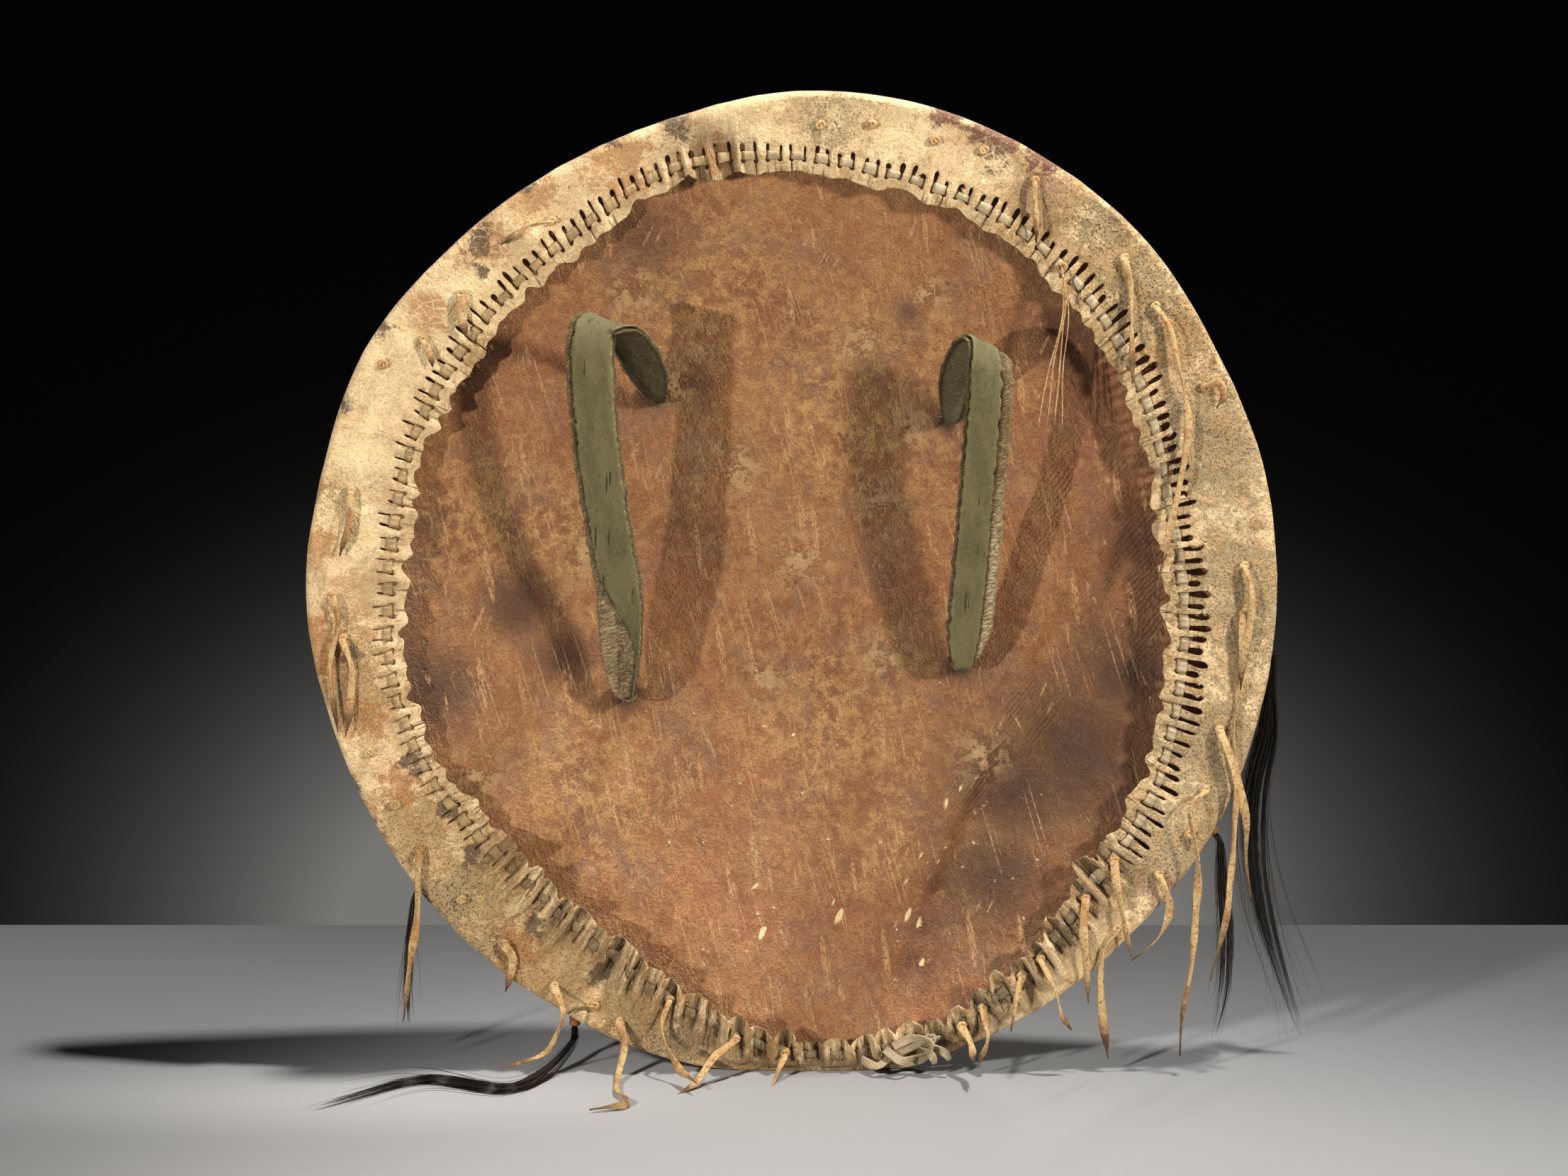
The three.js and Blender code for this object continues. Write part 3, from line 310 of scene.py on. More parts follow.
def joined(parts):
    """Several meshes of vertices and faces as one."""
    vertices = []
    faces = []
    start = 0
    for part_vertices, part_faces in parts:
        vertices.append(part_vertices)
        faces += [[start + corner for corner in face] for face in part_faces]
        start += len(part_vertices)
    return np.vstack(vertices), faces


def new_object(name, vertices, faces):
    mesh = bpy.data.meshes.new(name)
    mesh.from_pydata(np.asarray(vertices).tolist(), [], faces)
    mesh.validate()
    piece = bpy.data.objects.new(name, mesh)
    bpy.context.scene.collection.objects.link(piece)
    return piece


def apply_modifiers(piece):
    graph = bpy.context.evaluated_depsgraph_get()
    mesh = bpy.data.meshes.new_from_object(piece.evaluated_get(graph))
    piece.modifiers.clear()
    piece.data = mesh


def subtract(piece, cutters):
    """Takes closed shapes out of a closed piece."""
    tool = new_object("cutter", *joined(cutters))
    cut = piece.modifiers.new("cut", "BOOLEAN")
    cut.operation = "DIFFERENCE"
    cut.solver = "MANIFOLD"
    cut.object = tool
    apply_modifiers(piece)
    bpy.data.objects.remove(tool)


def corners_of(piece):
    places = np.empty(len(piece.data.vertices) * 3)
    piece.data.vertices.foreach_get("co", places)
    return places.reshape(-1, 3)


def add_field(piece, name, values):
    """A number for every corner of the mesh, which its material reads by name."""
    field = piece.data.attributes.new(name, "FLOAT", "POINT")
    field.data.foreach_set("value", np.asarray(values, np.float32))


def dress(piece, material, *nodes, body=None):
    """Gives a finished piece its material and puts it in place of its CAD nodes."""
    piece.data.materials.clear()
    piece.data.materials.append(MATERIALS[material])
    piece.data.polygons.foreach_set("use_smooth", [True] * len(piece.data.polygons))
    if body is not None:
        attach(piece, body)
    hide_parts(*nodes)


def body_of(node):
    return frame["nodes"][node]["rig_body"]


# The outline, the dish and the flange


def outline(shares):
    angles = np.arange(len(shares)) * math.tau / len(shares)
    shares = np.array(shares)
    return np.column_stack(
        [HALF_WIDTH * shares * np.cos(angles), HALF_HEIGHT * shares * np.sin(angles)]
    )


RIM = outline(RIM_SHARES)
OPENING = outline(OPENING_SHARES)
GATHER_START, GATHER_END = GATHER_SHARES


def reach_of(table, turns):
    return np.linalg.norm(closed_line(table, turns), axis=1)


def from_rim(turns, inset, y, lift=0.0):
    """Points that lie a given inset in from the rim, no lower than the foot and its lift."""
    flat = closed_line(RIM, turns)
    reach = np.linalg.norm(flat, axis=1)
    flat = flat * ((reach - inset) / reach)[:, None]
    low = np.maximum(flat[:, 1], lift - FOOT_DROP)
    return np.column_stack([flat[:, 0], np.broadcast_to(y, low.shape), low])


def dish_back(share):
    return -DISH_DEPTH * share**2


def dish_front(share):
    return dish_back(share) + RAWHIDE_THICKNESS


def cover_outside(share):
    slack = COVER_SLACK + (COVER_SEAT - COVER_SLACK) * share**2
    return dish_front(share) + slack + COVER_THICKNESS


FLANGE_FACE = dish_back(1) - FLANGE_GAP - COVER_THICKNESS
RIM_BACK = dish_back(1) - COVER_SEAT
RIM_FRONT = dish_front(1) - COVER_SEAT
FULL_BAND = LACE_FROM_EDGE + SLIT_LENGTH * max(SLIT_LENGTH_SHARES) + BAND_MARGIN


def bell(values, middle, width):
    """1 at a middle value, and smoothly less on both sides of it."""
    return np.exp(-(((values - middle) / width) ** 2))


def circle(turns):
    """Places round the disc, to take unevenness from."""
    return np.column_stack([np.cos(math.tau * turns), np.sin(math.tau * turns)]) * HALF_WIDTH


def turn_of(places):
    """How far round the ring places lie, in turns."""
    return np.arctan2(places[:, 2] / HALF_HEIGHT, places[:, 0] / HALF_WIDTH) / math.tau


def around(shares, turns):
    return np.interp(np.mod(turns, 1), np.linspace(0, 1, len(shares)), shares)


def flange_width(turns):
    return reach_of(RIM, turns) - reach_of(OPENING, turns)


def band_at(turns):
    return np.minimum(FULL_BAND, BAND_LIMIT_SHARE * flange_width(turns))


def lace_at(turns):
    return np.minimum(LACE_FROM_EDGE, LACE_LIMIT_SHARE * flange_width(turns))


def over_bar(turns):
    """1 in the middle of a bar that the thong goes over, -1 where it is under the cover."""
    return np.cos(math.pi * (turns * SLITS + 0.5))


def pleat_at(turns):
    """The pleats' height at the gathers, as a share of its most."""
    place = np.mod(turns, 1) * SLITS
    low = np.floor(place)
    shares = np.array(PLEAT_SHARES)
    first, second = (shares[np.ceil((low + step) / 2).astype(int) % len(shares)] for step in (0, 1))
    return first + (second - first) * ease(place - low)


PUCKER = np.random.default_rng(3).uniform(0.3, 1.0, STITCHES)
LOBES = np.random.default_rng(4).uniform(0.2, 1.3, STITCHES)
SLANT = np.random.default_rng(6).uniform(-0.17, 0.17, SLITS)
CUT = np.random.default_rng(8).uniform(0, 1, SLITS) < 0.16


def pucker_at(turns):
    """How far the hide stands up between two bars at the gathers, as a share of its most."""
    place = np.mod(turns * STITCHES + 0.25, STITCHES)
    height = PUCKER[np.round(place).astype(int) % STITCHES]
    lean = 0.3 * np.sin(7.0 * np.round(place))
    beside = np.clip(-over_bar(turns + lean * 0.25 / SLITS), 0, 1)
    return height * beside**0.7


def gathered(turns, after=0.0):
    """1 in the gathers and 0 elsewhere. They can be taken to end after their own end."""
    place = np.mod(turns, 1) * SLITS
    past = (GATHER_END + after) * SLITS + 3 - place
    return ease((place - GATHER_START * SLITS + 3) / 3) * ease(past / 3)


def bunched_at(turns, from_edge):
    """How far the hide is bunched up, as a share of its most, and how much of a gather it is."""
    top = 0.9 * bell(np.mod(turns, 1), *TOP_GATHER_SHARES)
    gather = gathered(turns, PUCKER_END_SHARE) + top
    reach_out = 1 - ease((from_edge - 0.3 * lace_at(turns)) / (0.8 * flange_width(turns)))
    along_fold = np.column_stack([circle(turns), from_edge / 6])
    folds = 1 - 2 * np.abs(np.clip(0.5 * waves(along_fold, 0.013, 11), -1, 1))
    height = pucker_at(turns) * reach_out**1.5 + (0.3 + 0.1 * gathered(turns)) * folds * reach_out
    return gather * height, gather


def scallop_at(turns, sizes, gather):
    """How far the free edge goes in or out."""
    share = np.mod(turns, 1)
    ring = circle(turns)
    lobe = LOBES[np.round(np.mod(turns * STITCHES + 0.25, STITCHES)).astype(int) % STITCHES]
    lobe = lobe * (1 - 0.7 * bell(share, *EVEN_EDGE_SHARES))
    scallop = sizes.scallop * (-over_bar(turns) * lobe + 1.3 * waves(ring, 0.024, 5))
    scallop = scallop + sizes.scallop * waves(ring, 0.08, 6)
    start, run = POINTED_FLAP_SHARES
    pointed = 1 + 0.7 * ease((share - start) / run)
    flap = FLAP_IN - FLAP_OUT * pointed * pucker_at(turns) + pleat_at(turns) * FLAP_IN
    return scallop + np.minimum(gather, 1) * flap


def flange_points(turns, from_edge, sizes, ripple=1.0):
    """Points of the flange's outer face, a given way outwards from its free edge."""
    width = flange_width(turns)
    band = band_at(turns)
    lace = lace_at(turns)
    room = np.clip((width - band - FLANGE_START) / RISE_RUN, 0, 1)
    from_start = (np.mod(turns, 1) - GATHER_START) / (GATHER_END - GATHER_START)
    middle = np.sin(math.pi * np.clip(from_start, 0, 1))
    at_edge = ease(1 - from_edge / (1.2 * LACE_FROM_EDGE))
    fold = PLEAT_HEIGHT * pleat_at(turns) * (1 + 0.9 * at_edge) + GATHER_SWELL * middle
    fade = 1 - ease((from_edge - band) / np.maximum(width - band - FLANGE_START, MM))
    rise = gathered(turns) * room * fold * fade
    dip = FLANGE_DIP * (1 - from_edge / (width - FLANGE_START))
    bunched, gather = bunched_at(turns, from_edge)
    inset = width - from_edge + scallop_at(turns, sizes, gather) * at_edge
    near_lace = bell(from_edge, lace, 0.6 * LACE_FROM_EDGE)
    puff = sizes.puff * (0.35 - 0.65 * over_bar(turns)) * near_lace
    flat = from_rim(turns, inset, 0)[:, [0, 2]]
    plain = ease(from_edge / LACE_FROM_EDGE) * ease((width - from_edge) / (4 * FLANGE_START))
    soft = (0.8 * waves(flat, 0.05, 7) + 0.3 * waves(flat, 0.02, 8)) * MM * (0.3 + 0.7 * plain)
    curl = 0.9 * MM * waves(circle(turns), 0.03, 9) * at_edge
    stand = sizes.pucker * bunched
    y = FLANGE_FACE + dip - rise - stand - ripple * (puff + soft + curl)
    return from_rim(turns, inset, y)


def seat_on_lace(slit, sizes):
    """The point of the flange's outer face under the thong, at a slit or between two."""
    turn = np.array([slit / SLITS])
    return flange_points(turn, lace_at(turn), sizes)[0]


# Materials

MATERIALS = {}


def add_node(tree, kind, settings=None, inputs=None):
    """A node with its settings and inputs. A socket is linked, and a name stands for a field."""
    node = tree.nodes.new(f"ShaderNode{kind}")
    for name, value in (settings or {}).items():
        setattr(node, name, value)
    for key, value in (inputs or {}).items():
        if isinstance(value, str):
            value = add_node(tree, "Attribute", {"attribute_name": value}).outputs["Fac"]
        if isinstance(value, bpy.types.NodeSocket):
            tree.links.new(value, node.inputs[key])
        else:
            node.inputs[key].default_value = value
    return node


def start_material(name, roughness, ior=1.5, specular=0.5, sheen=0.0, sheen_tint="#ffffff"):
    """A new material, its node tree, its shader and its place as [right, up, ahead]."""
    material = bpy.data.materials.new(name)
    material.use_nodes = True
    tree = material.node_tree
    shader = tree.nodes["Principled BSDF"]
    for key, value in (
        ("Roughness", roughness),
        ("IOR", ior),
        ("Specular IOR Level", specular),
        ("Sheen Weight", sheen),
        ("Sheen Roughness", 0.6),
        ("Sheen Tint", (*linear(sheen_tint), 1)),
    ):
        shader.inputs[key].default_value = value
    here = add_node(tree, "TexCoord").outputs["Object"]
    parted = add_node(tree, "SeparateXYZ", None, {0: here}).outputs
    turned = {0: parted["X"], 1: parted["Z"], 2: parted["Y"]}
    MATERIALS[name] = material
    return tree, shader, add_node(tree, "CombineXYZ", None, turned).outputs[0]


def laid(tree, place, size_mm, angle, shift):
    """Coordinates in the plane of the disc, in units of a size across and along an angle."""
    across, along = size_mm if isinstance(size_mm, tuple) else (size_mm, size_mm)
    inputs = {
        "Vector": place,
        "Location": (shift, shift, shift),
        "Rotation": (0, 0, math.radians(-angle)),
        "Scale": (across * MM, along * MM, max(across, along) * MM),
    }
    return add_node(tree, "Mapping", {"vector_type": "TEXTURE"}, inputs).outputs[0]


def mapped(tree, value, low, high, most=1.0):
    """A value taken smoothly from 0 at low to its most at high."""
    inputs = {"Value": value, "From Min": low, "From Max": high, "To Max": most}
    return add_node(tree, "MapRange", {"interpolation_type": "SMOOTHSTEP"}, inputs).outputs[0]


def combined(tree, *rows):
    """The sum of rows, each the product of its masks, fields and numbers."""
    result = None
    for row in rows:
        product = row[0]
        for value in row[1:]:
            settings = {"operation": "MULTIPLY"}
            product = add_node(tree, "Math", settings, {0: product, 1: value}).outputs[0]
        if result is None:
            result = product
        else:
            settings = {"operation": "ADD"}
            result = add_node(tree, "Math", settings, {0: result, 1: product}).outputs[0]
    return result


def pattern(tree, place, size_mm, low, high, detail=3.0, rough=0.6, angle=0.0, shift=0.0):
    """A noise mask with spots of a size, 0 at the noise's low value and 1 at its high value."""
    vector = laid(tree, place, size_mm, angle, shift)
    inputs = {"Vector": vector, "Scale": 1.0, "Detail": detail, "Roughness": rough}
    return mapped(tree, add_node(tree, "TexNoise", None, inputs).outputs["Fac"], low, high)


def strokes(tree, place, size_mm, angle, shift, least=0.45):
    """A mask of separate scrapes at an angle, each up to size_mm across and along."""
    across, along = size_mm
    vector = laid(tree, place, (across / 0.5, along / 0.5), angle, shift)
    settings = {"voronoi_dimensions": "2D"}
    cells = add_node(tree, "TexVoronoi", settings, {"Vector": vector, "Scale": 1.0}).outputs
    inputs = {"Value": cells["Color"], "From Min": least, "From Max": 0.85, "To Max": 0.3}
    radius = add_node(tree, "MapRange", None, inputs).outputs[0]
    inside = combined(tree, (radius,), (cells["Distance"], -1.0))
    return mapped(tree, inside, 0.0, 0.09)


def radial(tree, place, stretch):
    """Coordinates that run along the rim, and outwards at a stretched rate."""
    flat = add_node(tree, "VectorMath", {"operation": "MULTIPLY"}, {0: place, 1: (1, 1, 0)}).outputs[0]
    reach = add_node(tree, "VectorMath", {"operation": "LENGTH"}, {0: flat}).outputs["Value"]
    way = add_node(tree, "VectorMath", {"operation": "NORMALIZE"}, {0: flat}).outputs[0]
    inputs = {0: way, "Scale": 0.9 * HALF_WIDTH}
    ring = add_node(tree, "VectorMath", {"operation": "SCALE"}, inputs).outputs[0]
    outward = add_node(tree, "CombineXYZ", None, {2: combined(tree, (reach, 1 / stretch))}).outputs[0]
    return add_node(tree, "VectorMath", {"operation": "ADD"}, {0: ring, 1: outward}).outputs[0]


def away_from(tree, place, middle, size):
    """How far a place lies from a middle, in units of a size each way."""
    inputs = {"Vector": place, "Location": middle, "Scale": size}
    placed = add_node(tree, "Mapping", {"vector_type": "TEXTURE"}, inputs).outputs[0]
    return add_node(tree, "VectorMath", {"operation": "LENGTH"}, {0: placed}).outputs["Value"]


def painted(tree, base, layers):
    """A base colour under layers, each a colour, by its hex value or linear, and its masks."""
    result = (*base, 1)
    for colour, *masks in layers:
        shade = linear(colour) if isinstance(colour, str) else colour
        inputs = {0: combined(tree, masks), 6: result, 7: (*shade, 1)}
        result = add_node(tree, "Mix", {"data_type": "RGBA"}, inputs).outputs[2]
    return result


def finish_material(tree, shader, colour, height, depth, rough=None):
    """Gives a shader its colour, its bumps of a depth in metres and its roughness."""
    bump = add_node(tree, "Bump", None, {"Height": height, "Distance": depth, "Strength": 1.0})
    tree.links.new(colour, shader.inputs["Base Color"])
    tree.links.new(bump.outputs[0], shader.inputs["Normal"])
    if rough is not None:
        tree.links.new(rough, shader.inputs["Roughness"])


def rawhide_material(colours):
    """Bull rawhide, smoked and handled: hard and dull, with old scratches that show its pale
    inside, greasy dark patches and a faint sheen on the high spots. Shade is painted on it too: in
    the left strap's shadow, past the crease and in the open ends of the strap slits."""
    tree, shader, place = start_material("smoked_rawhide", 0.55, ior=1.53, specular=0.4)
    broad = pattern(tree, place, 80, 0.42, 0.6)
    warm = pattern(tree, place, 60, 0.42, 0.62, 2, shift=19)
    ochre = pattern(tree, place, 26, 0.48, 0.62, 5, 0.7, shift=3)
    grey = pattern(tree, place, 34, 0.49, 0.62, 5, 0.75, shift=7)
    mottle = pattern(tree, place, 7, 0.42, 0.62, 4, 0.75, shift=1)
    scuff = pattern(tree, place, (2.2, 9), 0.52, 0.64, 4, 0.75, angle=-20, shift=21)
    streak = pattern(tree, place, (1.8, 26), 0.55, 0.64, 2, 0.6, angle=-9, shift=25)
    speckle = pattern(tree, place, 1.1, 0.45, 0.64, 2, 0.65)
    ragged = pattern(tree, place, (1.0, 2.6), 0.38, 0.54, 3, 0.7, angle=-16, shift=23)
    where = pattern(tree, place, (16, 34), 0.53, 0.61, 3, angle=-15, shift=13)
    there = pattern(tree, place, (20, 30), 0.53, 0.61, 3, angle=30, shift=27)
    steep = strokes(tree, place, (3.6, 29), -8, 0.31, 0.64)
    slanted = strokes(tree, place, (2.4, 24), -25, 0.57, 0.56)
    backward = strokes(tree, place, (2.0, 14), 24, 0.83, 0.55)
    hairline = strokes(tree, place, (0.8, 38), -17, 0.11, 0.66)
    flecks = pattern(tree, place, 5, 0.665, 0.69, 5, 0.7, shift=15)
    cracks = pattern(tree, place, (1.8, 5), 0.34, 0.29, 4, 0.75, angle=-30, shift=17)
    flake = pattern(tree, place, 8, 0.46, 0.52, 5, 0.7, shift=29)
    splinter = strokes(tree, place, (3.4, 10), 22, 0.71, 0.05)
    chips = combined(tree, (splinter, mapped(tree, "chipped", 0.25, 0.45)))
    pale = "#d0a272"
    layers = [
        ("#70442b", broad, 0.5),
        ("#a0673a", warm, 0.4),
        ("#b08250", ochre, 0.45),
        ("#7d6a5b", grey, 0.4),
        ("#87503a", "ruddy", 0.3),
        (colours.rawhide_pale, mottle, 0.36),
        ("#bb9059", "tan", mottle, 0.9),
        ("#c39963", scuff, there, 0.6),
        ("#c59c6b", streak, where, 0.6),
        # Painted shade in the left strap's shadow, past the crease and at the sides.
        ("#402a1a", "painted_shade", 0.88),
        # Soil and grease, and painted shade along the crease, in the strap's shadow and round the
        # slits.
        (colours.rawhide_dark, "grime_and_shade", 0.8),
        ("#432a1d", speckle, 0.34),
        ("#2d1e17", cracks, 0.6),
        (pale, hairline, ragged, 0.5),
        ("#b7966c", flake, "flaked", 0.8),
        (pale, steep, ragged, 0.66),
        ("#c29c74", slanted, ragged, there, 0.8),
        ("#c39c73", backward, ragged, where, 0.7),
        ("#f0e2c0", flecks, "flecks"),
        ("#e6cc9a", chips, 0.95),
        # Painted shade: near-black where the strap slits open past the strap ends.
        ("#0d0805", "holes", 0.97),
    ]
    inputs = {
        "Vector": laid(tree, place, 1, 38, 0),
        "Scale": 0.13,
        "Distortion": 5.0,
        "Detail": 2.0,
        "Detail Scale": 0.4,
    }
    settings = {"wave_type": "BANDS", "bands_direction": "X"}
    wrinkle = add_node(tree, "TexWave", settings, inputs).outputs["Fac"]
    height = combined(
        tree,
        (mottle, 0.8),
        (scuff, 0.5),
        (speckle, -0.3),
        (streak, where, -0.5),
        (steep, ragged, -0.6),
        (slanted, ragged, -0.5),
        (backward, ragged, -0.5),
        (cracks, -1.0),
        (flake, "flaked", -1.6),
        (chips, -1.2),
        (wrinkle, "wrinkled"),
    )
    inputs = {"Value": combined(tree, (mottle, speckle)), "To Min": 0.5, "To Max": 0.72}
    rough = add_node(tree, "MapRange", None, inputs).outputs[0]
    finish_material(tree, shader, painted(tree, colours.rawhide, layers), height, 0.5 * MM, rough)


def cover_material(colours):
    """Brain-tanned hide: soft and matt, with dark grain in its pores, smoke and rust stains, worn
    pale creases, and what is left of the pigment where it comes over the rim. Light and shade are
    painted on it too: lighter at the top and upper left, darker low on the left and at the right,
    and darker low between the puckers of the gathers."""
    tree, shader, place = start_material(
        "tanned_hide", 0.82, ior=1.45, specular=0.3, sheen=0.12, sheen_tint="#e8d8b4"
    )
    cloud = pattern(tree, place, 30, 0.44, 0.6, 5, 0.72)
    blotch = pattern(tree, place, 10, 0.5, 0.62, 4, 0.75, shift=2)
    pores = pattern(tree, place, 1.25, 0.5, 0.64, 3, 0.6, shift=4)
    fine = pattern(tree, place, 0.6, 0.42, 0.66, 2, 0.5, shift=6)
    fray = pattern(tree, place, 7, 0.34, 0.66, 5, 0.8, shift=8)
    pale = pattern(tree, place, 22, 0.48, 0.64, 4, 0.7, shift=10)
    creases = pattern(tree, radial(tree, place, 9), 1.8, 0.6, 0.68, 2, 0.5, shift=12)
    folds = pattern(tree, radial(tree, place, 7), 2.6, 0.4, 0.62, 3, 0.55, shift=14)
    patches = pattern(tree, place, 26, 0.46, 0.56, 3, 0.6, shift=16)
    inputs = {"Vector": laid(tree, place, (7, 5), 30, 0.2), "Scale": 1.0}
    cells = add_node(tree, "TexVoronoi", {"feature": "DISTANCE_TO_EDGE"}, inputs).outputs
    crackle = combined(tree, (mapped(tree, cells["Distance"], 0.07, 0.02), patches))
    # Pores show darker in the grey stains, and in the smoke stains with their painted shade.
    shade = combined(tree, ("grey",), ("smoke_and_shade", 0.7), (0.3,))

    def stained(name, strength):
        """A stain's mask, with ragged edges."""
        ragged = combined(tree, (name,), (fray, 0.8), (-0.75,))
        return mapped(tree, ragged, 0.0, 0.4, strength)

    layers = [
        ("#ecd6ab", pale, 0.7),
        (colours.cover_shade, cloud, 0.5),
        # Smoke stains, and painted shade low on the left, at the bottom and at the upper right.
        ("#a5834f", stained("smoke_and_shade", 0.8)),
        ("#988563", stained("grey", 0.8)),
        ("#b9823f", blotch, 0.35),
        # Paler hide, and painted light at the top and upper left.
        ("#f0d5a2", stained("pale_and_painted_light", 0.75)),
        (colours.rust, stained("rust", 0.7)),
        (colours.soil, stained("soil", 0.9)),
        ("#b08a7a", stained("pink", 0.5)),
        (colours.red_paint, stained("red", 0.9)),
        (colours.green_paint, stained("green", 0.88)),
        ("#594630", pores, shade, 0.68),
        ("#f3e5c4", fine, 0.2),
        # Pale crackle in the paler hide and the painted light.
        ("#f6e6c0", crackle, "pale_and_painted_light", 0.75),
        ("#7d5f3a", "gathers", folds, 0.6),
        # Soil and painted shade low between the puckers of the gathers.
        ("#3f2c1b", "hollow_soil_and_shade", 0.78),
        ("#7c5a30", creases, "edge", 0.9),
        ("#8a6536", "edge", blotch, 0.5),
    ]
    height = combined(
        tree,
        (pores, -0.35),
        (fine, 0.3),
        (blotch, 0.9),
        (cloud, 1.4),
        (creases, "edge", -1.6),
        (folds, "gathers", -2.2),
    )
    finish_material(tree, shader, painted(tree, colours.cover, layers), height, 0.5 * MM)


def thong_material(colours):
    """Buckskin thong, pulled tight and rubbed: tan, greyer on the right where the rim was handled,
    smoother than the cover, and dark with soil in the gathers."""
    tree, shader, place = start_material("buckskin_thong", 0.7, ior=1.47, specular=0.35)
    soil = pattern(tree, place, 9, 0.42, 0.64, 4)
    fine = pattern(tree, place, 0.8, 0.4, 0.66, 3)
    layers = [
        ("#c0b295", "grey", 0.9),
        ("#6d553a", soil, 0.4),
        ("#45311f", "gathers", 0.75),
        ("#dccaa4", fine, 0.3),
    ]
    finish_material(tree, shader, painted(tree, colours.thong, layers), fine, 0.25 * MM)


def tie_material(colours):
    """Hide strips dried hard: buff and a little waxy, with rust-brown patches where they were
    handled and dark tips."""
    tree, shader, place = start_material("dried_hide_strip", 0.6, ior=1.5, specular=0.4)
    patch = pattern(tree, place, 16, 0.47, 0.58, 4, 0.7)
    grain = pattern(tree, place, 1.1, 0.4, 0.66, 4, 0.7, shift=2)
    dots = pattern(tree, place, 1.8, 0.56, 0.62, 2, 0.5, shift=4)
    tip = mapped(tree, "along", 0.66, 0.97)
    layers = [
        ("#b97f3f", patch, 0.8),
        ("#8a4f20", dots, 0.75),
        ("#ead9b0", grain, 0.35),
        (colours.tie_tip, tip, 0.85),
        ("#33231a", tip, patch, 0.8),
    ]
    finish_material(tree, shader, painted(tree, colours.tie, layers), grain, 0.35 * MM)


def cloth_material(colours):
    """Fulled wool: its nap hides the weave, it takes light softly and wears to its buff ground
    along the edges, with a painted highlight along them too."""
    tree, shader, place = start_material(
        "fulled_wool", 0.95, ior=1.46, specular=0.15, sheen=0.25, sheen_tint="#a09a72"
    )
    shade = pattern(tree, place, (9, 26), 0.42, 0.6, 4, angle=-5)
    nap = pattern(tree, place, (0.5, 1.6), 0.36, 0.66, 4, 0.7, angle=8, shift=2)
    fray = pattern(tree, place, 3, 0.3, 0.7, 5, 0.75, shift=4)
    dark = pattern(tree, place, 6, 0.6, 0.72, 4, shift=6)
    torn = pattern(tree, place, (0.9, 3), 0.36, 0.5, 3, 0.7, shift=8)
    creases = combined(tree, (strokes(tree, place, (1.3, 15), 3, 0.43, 0.6), torn))
    worn = mapped(tree, combined(tree, ("edge",), (fray, 0.3), (-1.04,)), 0.0, 0.16)
    layers = [
        ("#4f4d35", shade, 0.6),
        ("#928d68", nap, 0.5),
        ("#33301f", dark, 0.5),
        # Painted highlight along the strap's rounded edges.
        ("#9a8f5f", mapped(tree, "edge", 0.62, 1.0), 0.3),
        (colours.cloth_worn, worn, 0.6),
        ("#2a2719", creases, 0.8),
    ]
    height = combined(tree, (nap,), (shade, 0.8), (creases, -2.0))
    finish_material(tree, shader, painted(tree, colours.cloth, layers), height, 0.4 * MM)


def strap_hide_material(colours):
    """Old hide with the stubs of its hair: rough, buff where it is bare and dark between, and
    lined with the wool, with a painted shadow along the edges of the cloth."""
    tree, shader, place = start_material("haired_hide", 0.85, ior=1.48, specular=0.25)
    tufts = pattern(tree, place, (0.7, 3.2), 0.42, 0.6, 4, 0.7, angle=70)
    patch = pattern(tree, place, 11, 0.42, 0.62, 4, shift=2)
    fine = pattern(tree, place, 0.7, 0.4, 0.66, 3, shift=4)
    layers = [
        ("#c6ab7b", patch, 0.7),
        ("#2f2118", tufts, 0.7),
        ("#d9c8a0", fine, 0.25),
        ("#e2cda4", "scraped", mapped(tree, tufts, 1.0, 0.5), 0.9),
        ([c * 0.95 for c in colours.cloth], "lining", 0.95),
        ("#b09c70", mapped(tree, "edge", 0.82, 1.0), 0.7),
        # Painted shadow where the cloth's edges lie over the hide.
        ("#1c130c", "seam_shadow", 0.9),
    ]
    height = combined(tree, (tufts,), (fine, 0.4))
    finish_material(tree, shader, painted(tree, colours.strap_hide, layers), height, 0.6 * MM)


def hair_material(colours):
    """Black horsehair: thick smooth hairs that catch the light in thin lines, some of them brown."""
    tree, shader, place = start_material("horsehair", 0.3, ior=1.55, specular=0.5)
    shade = pattern(tree, place, 30, 0.4, 0.64, 3)
    brown = mapped(tree, "shade", 0.7, 1.0)
    layers = [("#050404", shade, 0.6), ("#4a3c31", brown, 0.9)]
    finish_material(tree, shader, painted(tree, colours.hair, layers), shade, 0.05 * MM)


def binding_material(colours):
    """Damp-wrapped hide, dried tight over the hair: hard, orange-brown, darker in patches."""
    tree, shader, place = start_material("wrapped_hide", 0.55, ior=1.5, specular=0.4)
    patch = pattern(tree, place, 5, 0.4, 0.62, 4)
    fine = pattern(tree, place, 0.8, 0.4, 0.66, 3)
    layers = [("#4a2a14", patch, 0.6), ("#cf9a5d", fine, 0.35)]
    finish_material(tree, shader, painted(tree, colours.binding, layers), fine, 0.3 * MM)


MATERIAL_MAKERS = (
    rawhide_material,
    cover_material,
    thong_material,
    tie_material,
    cloth_material,
    strap_hide_material,
    hair_material,
    binding_material,
)


# Pieces


def spots(places, table):
    """The strength of round spots, given as [across, up, size] in shares of the half sizes."""
    found = np.zeros(len(places))
    for across, up, size in table:
        x = places[:, 0] - across * HALF_WIDTH
        z = places[:, 2] - up * HALF_HEIGHT
        found = np.maximum(found, bell(np.hypot(x, z), 0, size * HALF_WIDTH))
    return found


